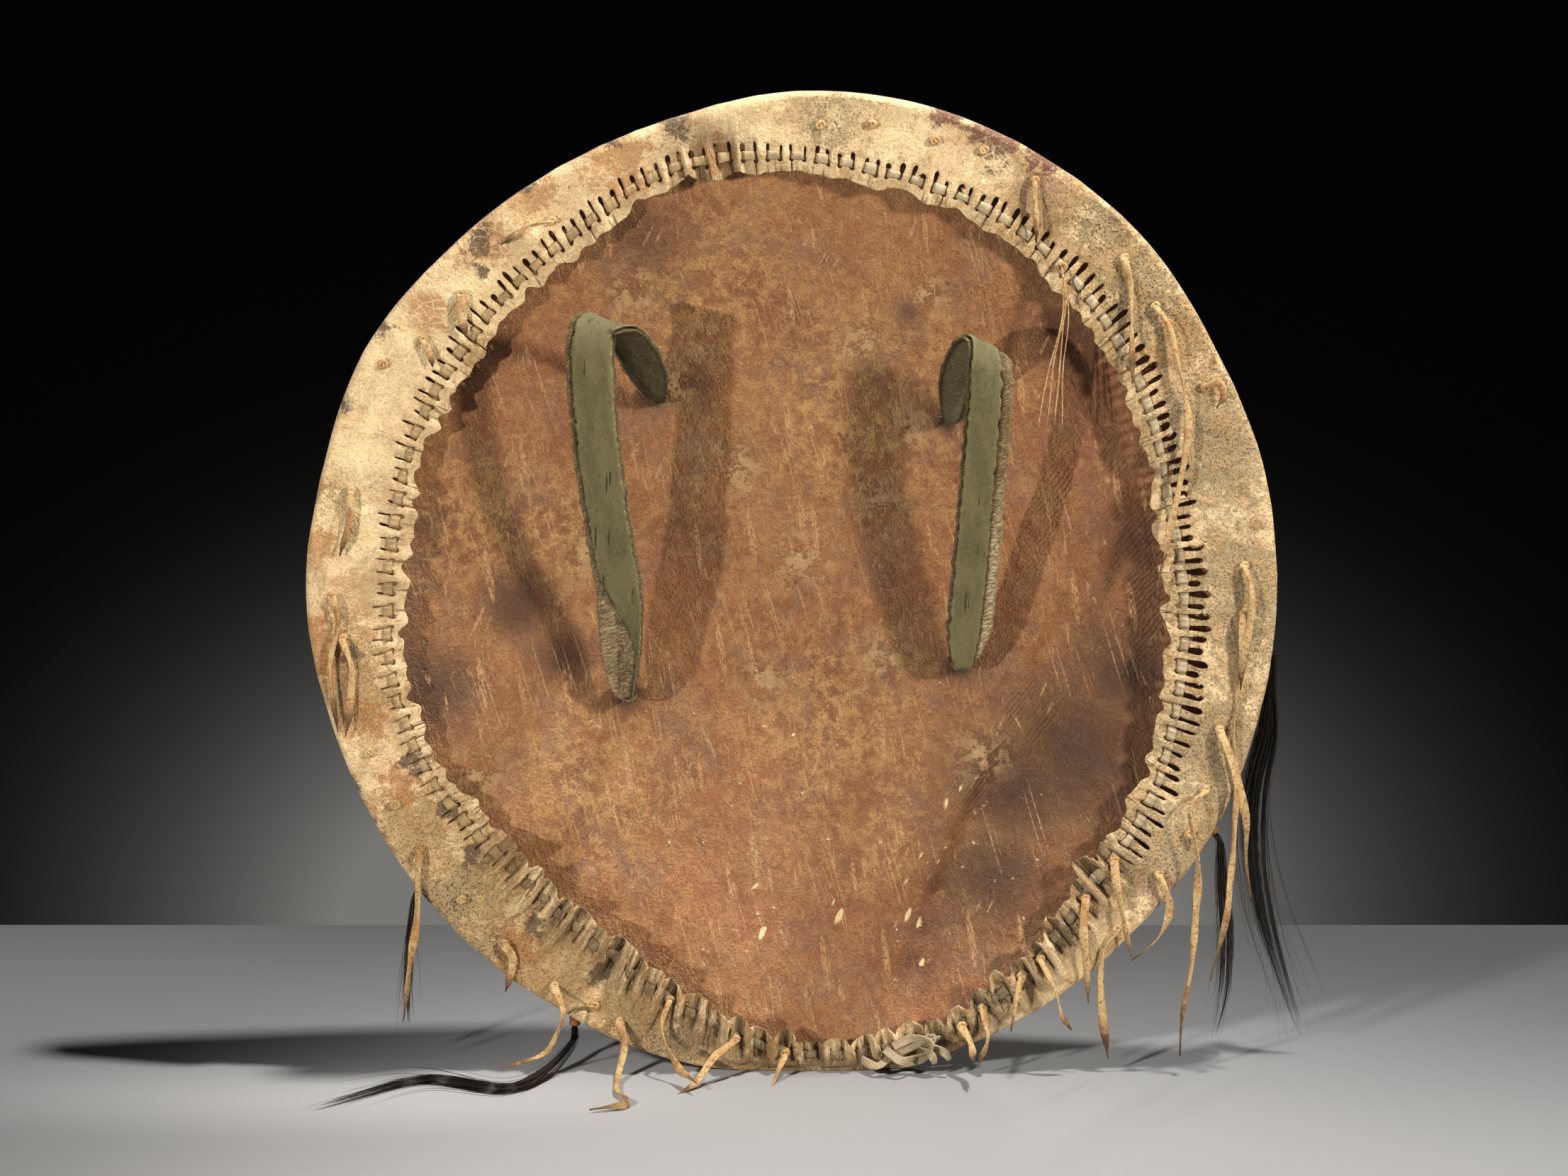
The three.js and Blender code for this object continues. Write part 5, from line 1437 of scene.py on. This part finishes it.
class SHIELD_OT_straps(bpy.types.Operator):
    """Forearm straps: a haired hide strip each, with wool sewn over it"""

    bl_idname = "shield.straps"
    bl_label = "Straps"

    STEP = 0.0022
    TAB = 0.011
    TAB_RISE = 0.003

    # How far past its slit a strap starts to widen, and in what length it is at its full width.
    WIDEN_START = 0.008
    WIDEN_RUN = 0.027

    # The layers: material, columns of corners, thickness, how far out the middle lies, and how
    # uneven the layer is.
    HIDE_MIDDLE = -(STRAP_CLOTH_THICKNESS + STRAP_GAP) / 2
    CLOTH_MIDDLE = (STRAP_HIDE_THICKNESS + STRAP_GAP) / 2
    LAYERS = {
        "hide": ("haired_hide", 15, STRAP_HIDE_THICKNESS, HIDE_MIDDLE, 0.3 * MM),
        "cloth": ("fulled_wool", 17, STRAP_CLOTH_THICKNESS, CLOTH_MIDDLE, 0.12 * MM),
    }

    def loop_line(self, plan):
        """The strap's line from one turned-over tab to the other, through both slits."""
        lower, upper, along, out, side, reach = strap_frame(plan)
        points = [
            lower + along * a * reach + out * o * plan["stand"] + side * s * reach
            for a, o, s in plan["path_shares"]
        ]
        deep = AXIS_HEIGHT + RAWHIDE_THICKNESS + 1.6 * MM
        depths = (deep - 2 * MM, deep / 2 + MM, 0, -STRAP_START - STRAP_NECK)
        ends = []
        for slit, away in ((lower, -1), (upper, 1)):
            tab = [
                slit - out * (deep - self.TAB_RISE * share) + along * away * self.TAB * share
                for share in (1, 0.5)
            ]
            ends.append([*tab, *(slit - out * depth for depth in depths)])
        return open_line([*ends[0], *points, *ends[1][::-1]], self.STEP)

    def execute(self, context):
        sizes = context.scene.shield_sizes
        for number, (name, plan) in enumerate(STRAPS.items()):
            lower, _, _, out, side, _ = strap_frame(plan)
            line = self.loop_line(plan)
            reach = run_of(line)
            height = (line - lower) @ out
            first = reach[np.argmax(height > 0)]
            last = reach[len(height) - 1 - np.argmax(height[::-1] > 0)]

            # How far each ring of the strap lies past its lower slit, its upper slit and either.
            run = (reach - first)[:, None]
            back = (last - reach)[:, None]
            past = np.minimum(run, back)
            widen = 1 - (1 - np.clip((past - self.WIDEN_START) / self.WIDEN_RUN, 0, 1)) ** 2
            end_width = STRAP_END_WIDTH * (1 - 0.3 * ease(past / 0.004))
            folds = np.where(run < back, *plan["fold"])
            fold = folds * ease((past - 0.002) / 0.014) * (1 - ease((past - 0.02) / 0.055))
            tilt = 0.1 * np.sin(reach / 0.05 + number)[:, None]
            twist = plan["twist"] * ease((0.085 - back) / 0.03) * ease((back + 0.004) / 0.016)
            bare = plan["bare"] * (1 - ease((run - 0.03) / 0.055)) * ease(run / 0.01)
            cloth_share, cloth_shift = plan["cloth"]
            hide_width = end_width + (sizes.strap_width - end_width) * widen
            cloth_width = end_width * 0.97 + (STRAP_CLOTH_WIDTH - end_width) * widen
            cloth_width = cloth_width * (1 + (cloth_share - 1) * widen)
            cloth_right = cloth_width / 2 + cloth_shift * widen
            cloth_left = cloth_right - cloth_width * (1 - 0.9 * bare)
            edges = {"hide": (-hide_width / 2, hide_width / 2), "cloth": (cloth_left, cloth_right)}
            for kind, (material, columns, thickness, middle, roughness) in self.LAYERS.items():
                left, right = edges[kind]
                across = np.linspace(-1, 1, columns)
                flat = right + (across - 1) / 2 * (right - left)
                places = np.column_stack(
                    [np.repeat(reach, columns), np.tile(across * 0.012, len(reach))]
                )
                rough = waves(places, 0.012, 51 + number).reshape(flat.shape) * roughness
                ragged = waves(places, 0.006, 53 + number).reshape(flat.shape) * 0.5 * MM
                x = flat * np.cos(fold) + ragged * np.abs(across) ** 8 * widen * np.sign(across)
                y = np.abs(flat) * np.sin(fold) + middle + (tilt * flat + rough) * widen
                profile = np.sqrt(np.clip(1 - np.abs(across) ** 6, 0, 1)) * thickness / 2
                x = np.hstack([x, x[:, -2:0:-1]])
                y = np.hstack([y - profile, (y + profile)[:, -2:0:-1]])
                turned_x = x * np.cos(twist) - y * np.sin(twist)
                turned_y = x * np.sin(twist) + y * np.cos(twist)
                sections = np.stack([turned_x, turned_y], axis=2)
                strip = sweep(line, sections, side)
                piece = new_object(f"{name}_strap_{kind}_surface", *strip)
                ring = np.concatenate([across, across[-2:0:-1]])
                inner = np.concatenate([np.abs(across) < 0.93, np.zeros(columns - 2)])
                add_field(piece, "edge", np.tile(np.abs(ring), len(line)))
                add_field(piece, "lining", np.tile(inner, len(line)))
                nodes = [f"{name}_strap_{kind}"]
                if kind == "hide":
                    # A painted shadow line on the hide along both edges of the cloth.
                    beside = ring * hide_width / 2
                    from_cloth = np.minimum(
                        np.abs(beside - cloth_left), np.abs(beside - cloth_right)
                    )
                    scraped = plan["scraped"] * ease((0.52 - run / (last - first)) / 0.22)
                    add_field(piece, "seam_shadow", bell(from_cloth, 0, 1.3 * MM).ravel())
                    add_field(piece, "scraped", np.repeat(scraped, len(ring)))
                    nodes += [f"{name}_strap_root_lower", f"{name}_strap_root_upper"]
                dress(piece, material, *nodes)
                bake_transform(piece)
        return {"FINISHED"}


# Ties: where each leaves the cover, as [angle in degrees, share of the rim] or as a share of the
# lacing's stitches, and its way [to the right, up, out] from there in millimetres.
TIES = {
    "tie_top_right": ((59.6, 0.952), ((0, -12, 0), (1, -32, 0))),
    "tie_upper_right_short": ((45.4, 0.945), ((3, -17, 0), (5, -42, 0), (5, -65, 0))),
    "tie_upper_right_long": ((38.4, 0.936), (
        (8, -13, 2), (15, -41, 2), (17, -61, 2), (14, -93, 2), (7, -125, 2), (-1, -164, 2),
    )),
    "tie_right_curl": ((26.6, 0.947), ((6, 3, 2), (9, -4, 3), (5, -10, 2))),
    "tie_right_upper": ((3.7, 0.931), ((3, -10, 2), (3, -27, 2), (0, -51, 2), (-1, -65, 2))),
    "tie_right_lower": ((357.7, 0.931), (
        (-1, -26, 0), (-4, -61, 0), (-2, -87, 0), (3, -112, 0), (4, -133, 0), (7, -154, 0),
    )),
    "tie_lower_right_a": ((342.6, 0.925), (
        (9, -30, 5), (9, -47, 5), (6, -79, 5), (5, -100, 5), (-3, -134, 5),
    )),
    "tie_lower_right_b": ((334.9, 0.943), (
        (-6, -4, 4), (-9, -10, 7), (-5, -35, 7), (-4, -59, 7), (-7, -90, 7), (-11, -118, 7),
        (-12, -142, 7),
    )),
    "tie_lower_right_stub": ((329, 0.956), ((3, -2, 1), (4, -6, 2))),
    "tie_lower_right_c": ((322.8, 0.954), ((6, -16, 1), (0, -33, 1), (-14, -46, 1))),
    "tie_lower_right_d": ((314.3, 0.968), ((-8, -11, 0), (-7, -44, 0), (-4, -70, 0))),
    "tie_bottom_left_long": ((247.9, 0.953), (
        (2, -14, 2), (0, -25.5, 14), (0, -26.5, 40), (6, -26.5, 60), (-13, -26.5, 70),
    )),
    "tie_bottom_left_side": ((244.3, 0.953), ((-6, 1, 1), (-14, -3, 1))),
    "tie_lower_left_trailing": ((238.6, 0.957), (
        (5, -11, 10), (2, -24, 7), (-3, -33, 8), (-13, -35, 18), (-25, -35, 30),
    )),
    "tie_lower_left_short": ((230.3, 0.947), ((5, -7, 1), (3, -19, 1), (1, -26, 1))),
    "tie_left_long": ((214.3, 0.947), ((-3, -45, 0), (-7, -74, 0), (-10, -93, 0))),
    "tie_left_middle": ((185.5, 0.932), ((5, -16, 0), (4, -36, 0), (1, -52, 0))),
    "tie_left_joined": ((180.1, 0.944), ((2, -14, 0), (-1, -30, 1), (0, -52, 1), (2, -72, 1))),
    "tie_left_upper": ((166.7, 0.933), ((-1, -14, 0), (-6, -34, 0))),
    "tie_upper_left_a": ((145.3, 0.913), ((3, -7, 0), (5, -14, 0))),
    "tie_upper_left_b": ((137.7, 0.916), ((0, -11, 0), (2, -22, 0))),
    "tie_top_left": ((122.8, 0.915), ((-10, -2, 1), (-26, -12, 1))),
    "lace_tie_right_a": (0.892, ((2, -20, 2), (10, -52, 2))),
    "lace_tie_right_b": (0.874, ((-1, -20, 2), (2, -56, 2))),
    "lace_tie_right_c": (0.848, ((7, -14, 3), (11, -29, 3), (17, -38, 3))),
    "lace_tie_bottom_right_a": (0.836, ((-4, -12, 4), (-6, -29, 4))),
    "lace_tie_bottom_right_b": (0.822, ((2, -14, 6), (-2, -28, 6))),
    "lace_tie_bottom_right_c": (0.812, ((4, -6, 10), (5, -10, 30))),
    "lace_tie_bottom_a": (0.751, ((-7, -12, 18), (-17, -15, 40))),
    "lace_tie_bottom_b": (0.731, ((-10, -6, 10), (-20, -17, 20), (-30, -21, 30))),
    "sinew_strands": (0.139, ((2, -20, 2), (-2, -50, 2), (-5, -83, 2))),
    "lace_tie_bottom_left": (0.706, ((-4, -14, 6), (4, -30, 20), (15, -33, 40))),
}

# The rim's plain knots, as [angle in degrees, share of the rim].
RIM_KNOTS = (
    (86.5, 0.935), (80.4, 0.944), (72.5, 0.941), (66.6, 0.958),
    (222.5, 0.939), (207.8, 0.941), (200.4, 0.944), (150.6, 0.953),
)


def way_from(head, way):
    """Points on a way given as [to the right, up, out] in millimetres from a head."""
    return [head + np.array([right, -out, up]) * MM for right, up, out in way]


def place_of(place):
    """A place on the rim's flange, as a point with no height."""
    angle, share = place
    turn = np.array([angle / 360])
    return from_rim(turn, (1 - share) * reach_of(RIM, turn), 0)[0]


def seat_on_flange(place, sizes):
    """The point of the flange's outer face at a place on the rim."""
    angle, share = place
    turn = np.array([angle / 360])
    inset = (1 - share) * reach_of(RIM, turn)
    return flange_points(turn, flange_width(turn) - inset, sizes)[0]


def knot_wrap(seat, radius, seed, turns=1.45):
    """A short turn of hide round a stem, with its end tucked over."""
    random = np.random.default_rng(seed)
    start = random.uniform(0, math.tau)
    angles = start + np.linspace(0, math.tau * turns, 30)
    share = np.linspace(0, 1, 30)
    wide = radius * (1 - 0.25 * share + 0.12 * np.sin(angles * 2))
    line = seat + np.column_stack(
        [np.cos(angles) * wide, -(0.7 + 1.9 * share) * MM, np.sin(angles) * wide * 0.9]
    )
    sections = [oval(1.9 * MM, 1.5 * MM, 8, turn=0.6 * math.sin(3 * s)) for s in share]
    return sweep(line, sections, (0, 1, 0))


class SHIELD_OT_ties(bpy.types.Operator):
    """Hide ties with their knots, the split sinew and the plain knots of the rim"""

    bl_idname = "shield.ties"
    bl_label = "Ties and knots"

    STEP = 0.0017
    SIDES = 10
    SINEW_STRANDS = 4

    def strip(self, points, width, thickness, seed):
        """A dried strip that twists and narrows on its way down."""
        line = open_line(points, self.STEP)
        along = along_line(line)
        way = run_of(line)
        phase = np.random.default_rng(seed).uniform(0, math.tau, 4)
        free = ease((way - 6 * MM) / (12 * MM))
        sway = 0.7 * np.sin(way / (11 * MM) + phase[0])
        line[:, 0] += free * sway * MM * (1 - along**4)
        line[:, 1] -= free * 0.35 * MM * (1 + np.sin(way / (9 * MM) + phase[1])) * (1 - along)
        twist = 0.75 * np.sin(way / (17 * MM) + phase[2]) + 0.45 * np.sin(way / (8 * MM) + phase[3])
        broad = width * (0.86 + 0.2 * np.sin(way / (14 * MM) + phase[1]))
        broad = broad * (0.5 + 0.5 * ease(way / (3 * MM)))
        taper = 1 - 0.82 * ease((along - 0.8) / 0.2)
        curl = 0.45 * MM * free * np.sin(4 * along + phase[0])
        sections = [
            oval(w, thickness * (1 - 0.4 * a), self.SIDES, c, t)
            for w, a, c, t in zip(broad * taper, along, curl, free * twist)
        ]
        return sweep(line, sections, (1, 0, 0)), np.repeat(along, self.SIDES)

    def execute(self, context):
        sizes = context.scene.shield_sizes
        for number, (name, (place, way)) in enumerate(TIES.items()):
            on_lace = isinstance(place, float)
            if on_lace:
                seat = seat_on_lace(2 * round(place * STITCHES) - 0.5, sizes)
                seat[1] -= LACE_GAP + LACE_THICKNESS
            else:
                seat = seat_on_flange(place, sizes)
            head = seat + np.array([0, -TIE_LIFT, 0])
            tail = way_from(head, way)
            base = seat + np.array([0, 0 if on_lace else COVER_THICKNESS + 2 * MM, 0])
            if name == "sinew_strands":
                made = []
                for strand in range(self.SINEW_STRANDS):
                    spread = (strand - 1.5) * 1.7 * MM
                    bent = [p + np.array([spread * (0.4 + i), 0, 0]) for i, p in enumerate(tail)]
                    made.append(self.strip([base, head, *bent], 0.9 * MM, 0.6 * MM, 200 + strand))
                fields = [along * 0.6 for _, along in made]
            else:
                size = (sizes.tie_width, sizes.tie_thickness)
                made = [self.strip([base, head, *tail], *size, 100 + number)]
                fields = [along for _, along in made]
            wrap = knot_wrap(seat, 2.1 * MM, 300 + number)
            piece = new_object(f"{name}_strip", *joined([*(part for part, _ in made), wrap]))
            add_field(piece, "along", np.concatenate([*fields, np.zeros(len(wrap[0]))]))
            dress(piece, "dried_hide_strip", name, body=body_of(name))
        for number, place in enumerate(RIM_KNOTS):
            seat = seat_on_flange(place, sizes)
            stem = np.array([seat + np.array([0, y * MM, 0]) for y in (3.4, 1.5, 0, -1.4, -3.0)])
            sections = [oval(w * MM, w * MM, self.SIDES) for w in (2, 2, 2.2, 3.2, 1.2)]
            core = sweep(stem, sections, (1, 0, 0))
            parts = [core, knot_wrap(seat, 2.3 * MM, 400 + number, 1.7)]
            piece = new_object(f"rim_knot_{number + 1}_hide", *joined(parts))
            add_field(piece, "along", np.zeros(len(piece.data.vertices)))
            dress(piece, "dried_hide_strip", f"rim_knot_{number + 1}", body="shield")
        return {"FINISHED"}


# Locks of hair: where each comes through the rim, as [angle in degrees, share of the rim], and the
# ways of its binding and its hair from there, as [to the right, up, out] in millimetres. Then how
# thick the lock is and how far its hairs spread.
HAIR = {
    "lower_left": {
        "place": (217.3, 0.972),
        "binding": ((-2, -5, -3), (-5, -12, -4)),
        "hair": ((-9, -30, -4), (-11, -62, -4), (-11, -90, -4)),
        "thick": 0.7,
        "spread": 1.0,
    },
    "bottom_left": {
        "place": (241.5, 0.972),
        "binding": ((1, -6, -3), (1, -18, -3)),
        "hair": (
            (-2, -27, 8), (-15, -33, 36), (-31, -34.5, 58), (-76, -35, 40), (-110, -35, 70),
            (-133, -35.5, 95),
        ),
        "thick": 1.0,
        "spread": 1.0,
    },
    "right": {
        "place": (356.5, 0.97),
        "binding": ((2, -6, -5), (6, -15, -7)),
        "hair": (
            (8, -35, -12), (7, -66, -14), (1, -94, -14), (0, -125, -14), (5, -160, -14),
            (15, -194, -14), (27, -228, -14), (32, -238, -14),
        ),
        "thick": 1.3,
        "spread": 2.3,
    },
    "lower_right": {
        "place": (331.8, 0.975),
        "binding": ((2, -6, -5), (6, -13, -7)),
        "hair": ((11, -40, -12), (14, -70, -12), (13, -105, -12), (8, -129, -12)),
        "thick": 0.9,
        "spread": 1.7,
    },
}


class SHIELD_OT_hair(bpy.types.Operator):
    """Locks of horsehair with their wrapped bindings"""

    bl_idname = "shield.hair"
    bl_label = "Horsehair"

    POINTS = 26

    def strands(self, line, count, radius, thickness, spread, seed):
        """Thin three-sided hairs that follow a line in clumps, part a little and end unevenly."""
        random = np.random.default_rng(seed)
        share = np.linspace(0, 1, self.POINTS)
        clumps = 20
        clump = random.integers(0, clumps, count)
        ends = random.uniform(0.72, 1.0, clumps)[clump] * (1 - 0.3 * random.uniform(0, 1, count) ** 2)
        places = ends[:, None] * share[None, :]
        grid = np.linspace(0, 1, len(line))
        points = np.stack([np.interp(places, grid, line[:, axis]) for axis in range(3)], axis=2)
        stray = np.where(random.uniform(0, 1, count) < 0.26, random.uniform(0.8, 9.0, count), 0.0)
        loose = random.uniform(0, 1, clumps)[clump][:, None] ** 2
        swell = np.sin(math.pi * np.minimum(places * 1.05, 1)) * (1 - 0.3 * places)
        clump_spread = 0.5 + 1.7 * spread * swell + 3.2 * loose * places**2
        own_spread = 0.5 * (1 - 0.7 * places**1.2)
        for axis in range(3):
            from_clump = random.normal(0, 0.6, clumps)[clump][:, None] * clump_spread
            own = random.normal(0, 0.8, count)[:, None] * own_spread
            phase = random.uniform(0, math.tau, (2, count, 1))
            speed = random.uniform(2, 7, (2, count, 1))
            wander = 0.16 * np.sin(speed[0] * places + phase[0, :, :])
            away = random.normal(0, 1, count)[:, None] * stray[:, None] * places**1.6
            away = away * (1 + 0.5 * np.sin(speed[1] * places + phase[1, :, :]))
            points[:, :, axis] += radius * (from_clump + own + wander * places + away)
        points[:, :, 2] = np.maximum(points[:, :, 2], thickness - FOOT_DROP)
        ahead = np.gradient(points, axis=1)
        ahead /= np.linalg.norm(ahead, axis=2, keepdims=True) + 1e-9
        side = np.cross(ahead, np.array([0.3, 1.0, 0.2]))
        side /= np.linalg.norm(side, axis=2, keepdims=True) + 1e-9
        face = np.cross(ahead, side)
        half = thickness / 2 * (1 - 0.75 * share**3)[None, :, None]
        rings = []
        for corner in range(3):
            a = math.tau * corner / 3
            rings.append(points + half * (math.cos(a) * side + math.sin(a) * face))
        vertices = np.stack(rings, axis=2).reshape(-1, 3)
        start = (np.arange(count) * self.POINTS * 3)[:, None, None]
        ring = (np.arange(self.POINTS - 1) * 3)[None, :, None]
        corner = np.arange(3)[None, None, :]
        low = start + ring + corner
        beside = start + ring + (corner + 1) % 3
        faces = np.stack([low, beside, beside + 3, low + 3], axis=3).reshape(-1, 4).tolist()
        caps = (start[:, 0, 0][:, None] + np.array([2, 1, 0])).tolist()
        far = (start[:, 0, 0][:, None] + (self.POINTS - 1) * 3 + np.array([0, 1, 2])).tolist()
        return vertices, faces + caps + far, np.repeat(random.uniform(0, 1, count), self.POINTS * 3)

    def execute(self, context):
        sizes = context.scene.shield_sizes
        for number, (name, plan) in enumerate(HAIR.items()):
            node = f"hair_binding_{name}"
            x, _, z = place_of(plan["place"])
            share = plan["place"][1]
            front = cover_outside(share) + SEAT_GAP
            head = np.array([x, front + 2.7 * MM, z])
            path = way_from(head, plan["binding"])
            line = open_line([(x, dish_back(share), z), (x, front, z), head, *path], 0.7 * MM)
            along = along_line(line)
            past = ease((along - 0.5) / 0.12)
            radius = (1.0 + (2.7 * plan["thick"] - 1.0) * past) * MM
            radius = radius * (1 + 0.13 * past * np.abs(np.sin(along * 34)))
            sections = [oval(2 * r, 2 * r, 14) for r in radius]
            binding = new_object(f"{node}_wrap", *sweep(line, sections, (-1, 0, 0)))
            dress(binding, "wrapped_hide", node, body=body_of(node))
            node = f"hair_lock_{name}"
            onward = path[-1] - path[-2]
            onward = onward / np.linalg.norm(onward)
            start = path[-1] + onward * 0.4 * MM
            points = [start, start + onward * 6 * MM, *way_from(head, plan["hair"])]
            line = open_line(points, 3 * MM)
            count = round(sizes.hairs * plan["thick"])
            size = (1.25 * MM * plan["thick"], sizes.hair_thickness, plan["spread"])
            *mesh, shade = self.strands(line, count, *size, 500 + number)
            hair = new_object(f"{node}_hairs", *mesh)
            add_field(hair, "shade", shade)
            dress(hair, "horsehair", node, body=body_of(node))
        return {"FINISHED"}


class SHIELD_OT_stage(bpy.types.Operator):
    """Table, backdrop, lights and the camera at the photograph's angle"""

    bl_idname = "shield.stage"
    bl_label = "Stage"

    ELEVATION = 10
    DISTANCE = 2.2
    TARGET = (-0.004, -0.028, 0.0024)
    IMAGE_WIDTH = 2212
    FOCAL_PIXELS = 5938
    SENSOR_MM = 36
    HALF_ROOM = 3.0
    TABLE_ENDS = (-2.5, 0.272)
    WALL_PLACE = 4.0
    WALL_ENDS = (-1.5, 2.5)

    # Round lamps: name, place, size, power, colour, and whether the table is kept from their light.
    LAMPS = (
        ("right", (1.4, -1.25, 0.66), 0.2, 36, "#fff3e2", True),
        ("left", (-1.35, -1.4, 0.16), 0.06, 25, "#fff6ea", True),
        ("above", (0.4, -0.15, 1.4), 0.1, 30, "#ffffff", False),
        ("behind", (0.5, 2.2, 1.7), 1.2, 26, "#ffffff", True),
    )

    # Narrow beams that shine on the table alone: name, place, aim, power and angle.
    BEAMS = (
        ("beam from the left", (-1.1, -1.5, 0.75), (1.4, 1.36, -1.0), 255, 34),
        ("beam from behind", (0.9, 1.2, 0.6), (-0.78, -1.19, -0.857), 26, 15),
    )

    def place_camera(self, scene):
        tilt = math.radians(self.ELEVATION)
        camera = bpy.data.objects.new("camera", bpy.data.cameras.new("camera"))
        scene.collection.objects.link(camera)
        away = Vector((0, -math.cos(tilt), math.sin(tilt)))
        camera.location = Vector(self.TARGET) + away * self.DISTANCE
        camera.rotation_euler = (math.pi / 2 - tilt, 0, 0)
        camera.data.sensor_fit = "HORIZONTAL"
        camera.data.sensor_width = self.SENSOR_MM
        camera.data.lens = self.FOCAL_PIXELS / self.IMAGE_WIDTH * self.SENSOR_MM
        camera.data.clip_end = 50
        scene.camera = camera

    def hang_light(self, scene, kind, name, place, aim, settings, receivers):
        """A light that shines along its aim, on the given pieces where they are named."""
        light = bpy.data.lights.new(name, kind)
        for key, value in settings.items():
            setattr(light, key, value)
        holder = bpy.data.objects.new(name, light)
        holder.location = place
        holder.rotation_euler = Vector(aim).to_track_quat("-Z", "Y").to_euler()
        scene.collection.objects.link(holder)
        if receivers is not None:
            holder.light_linking.receiver_collection = receivers

    def lay_table(self, colours):
        """A matt table top, which takes the shadows. Painted shade makes it darker towards its back,
        and a painted pool of light makes it lighter at its front left.
        """
        low = -FOOT_DROP
        wide = self.HALF_ROOM
        near, far = self.TABLE_ENDS
        ends = ((-wide, near), (wide, near), (wide, far), (-wide, far))
        table = new_object("table", [(x, y, low) for x, y in ends], [[0, 1, 2, 3]])
        tree, shader, place = start_material("matt_table_top", 0.6, specular=0.2)
        parted = add_node(tree, "SeparateXYZ", None, {0: place}).outputs
        # Painted shade: the table darkens towards its back, where less light reaches.
        back = mapped(tree, combined(tree, (parted[2],), (parted[0], 0.35)), -0.16, 0.36, 0.75)
        # A painted pool of light on the front left of the table.
        patch = away_from(tree, place, (-0.27, low, -0.078), (0.17, 1, 0.058))
        layers = [
            ([c * 0.2 for c in colours.floor], back),
            ([c * 1.5 for c in colours.floor], mapped(tree, patch, 1.6, 0.0)),
        ]
        tree.links.new(painted(tree, colours.floor, layers), shader.inputs["Base Color"])
        table.data.materials.append(MATERIALS["matt_table_top"])
        return table

    def hang_backdrop(self):
        """Dark paper with a pool of light low down. Its glow stands for the light on it."""
        wide = self.HALF_ROOM
        low, high = self.WALL_ENDS
        ends = ((-wide, low), (wide, low), (wide, high), (-wide, high))
        wall_corners = [(x, self.WALL_PLACE, z) for x, z in ends]
        paper = new_object("backdrop", wall_corners, [[0, 1, 2, 3]])
        tree, shader, place = start_material("backdrop_paper", 1.0, specular=0.0)
        away = away_from(tree, place, (-0.042, -1.286, self.WALL_PLACE), (0.41, 0.2645, 1))
        inputs = {0: combined(tree, (away, away, -0.5))}
        pool = add_node(tree, "Math", {"operation": "EXPONENT"}, inputs).outputs[0]
        inputs = {0: combined(tree, (pool, 0.69), (0.001,)), 1: 0.2}
        glow = add_node(tree, "Math", {"operation": "MINIMUM"}, inputs).outputs[0]
        shader.inputs["Base Color"].default_value = (0, 0, 0, 1)
        shader.inputs["Emission Color"].default_value = (*linear("#f6f4ee"), 1)
        tree.links.new(glow, shader.inputs["Emission Strength"])
        paper.data.materials.append(MATERIALS["backdrop_paper"])

    def execute(self, context):
        scene = context.scene
        self.place_camera(scene)
        table = self.lay_table(scene.shield_colours)
        self.hang_backdrop()
        shaded = bpy.data.collections.new("shaded from the side lights")
        shaded.objects.link(table)
        shaded.collection_objects[0].light_linking.link_state = "EXCLUDE"
        for name, place, size, power, code, off_table in self.LAMPS:
            settings = {"shape": "DISK", "size": size, "energy": power, "color": linear(code)}
            receivers = shaded if off_table else None
            self.hang_light(scene, "AREA", name, place, -Vector(place), settings, receivers)
        lit = bpy.data.collections.new("lit by the beams")
        lit.objects.link(table)
        for name, place, aim, power, angle in self.BEAMS:
            settings = {"energy": power, "spot_size": math.radians(angle), "spot_blend": 0.9}
            settings["shadow_soft_size"] = 0.1
            self.hang_light(scene, "SPOT", name, place, aim, settings, lit)
        world = bpy.data.worlds.new("studio")
        world.use_nodes = True
        background = world.node_tree.nodes["Background"]
        background.inputs["Color"].default_value = (*linear("#e8e8ea"), 1)
        background.inputs["Strength"].default_value = 0.022
        scene.world = world
        scene.view_settings.view_transform = "Standard"
        return {"FINISHED"}


class SHIELD_PT_tools(bpy.types.Panel):
    """The steps that make the shield"""

    bl_idname = "SHIELD_PT_tools"
    bl_label = "Painted hide shield"
    bl_space_type = "VIEW_3D"
    bl_region_type = "UI"
    bl_category = "Shield"

    def draw(self, context):
        for step in STEPS:
            self.layout.operator(step.bl_idname)
        for group in (context.scene.shield_sizes, context.scene.shield_colours):
            for name in group.__annotations__:
                self.layout.prop(group, name)


STEPS = (
    SHIELD_OT_stage,
    SHIELD_OT_rawhide,
    SHIELD_OT_cover,
    SHIELD_OT_lacing,
    SHIELD_OT_straps,
    SHIELD_OT_ties,
    SHIELD_OT_hair,
)
CLASSES = (ShieldColours, ShieldSizes, *STEPS, SHIELD_PT_tools)


def register():
    for kind in CLASSES:
        bpy.utils.register_class(kind)
    bpy.types.Scene.shield_colours = bpy.props.PointerProperty(type=ShieldColours)
    bpy.types.Scene.shield_sizes = bpy.props.PointerProperty(type=ShieldSizes)


def unregister():
    del bpy.types.Scene.shield_sizes
    del bpy.types.Scene.shield_colours
    for kind in reversed(CLASSES):
        bpy.utils.unregister_class(kind)


def main():
    register()
    for make in MATERIAL_MAKERS:
        make(bpy.context.scene.shield_colours)
    for step in STEPS:
        group, name = step.bl_idname.split(".")
        getattr(getattr(bpy.ops, group), name)()


if __name__ == "__main__":
    main()
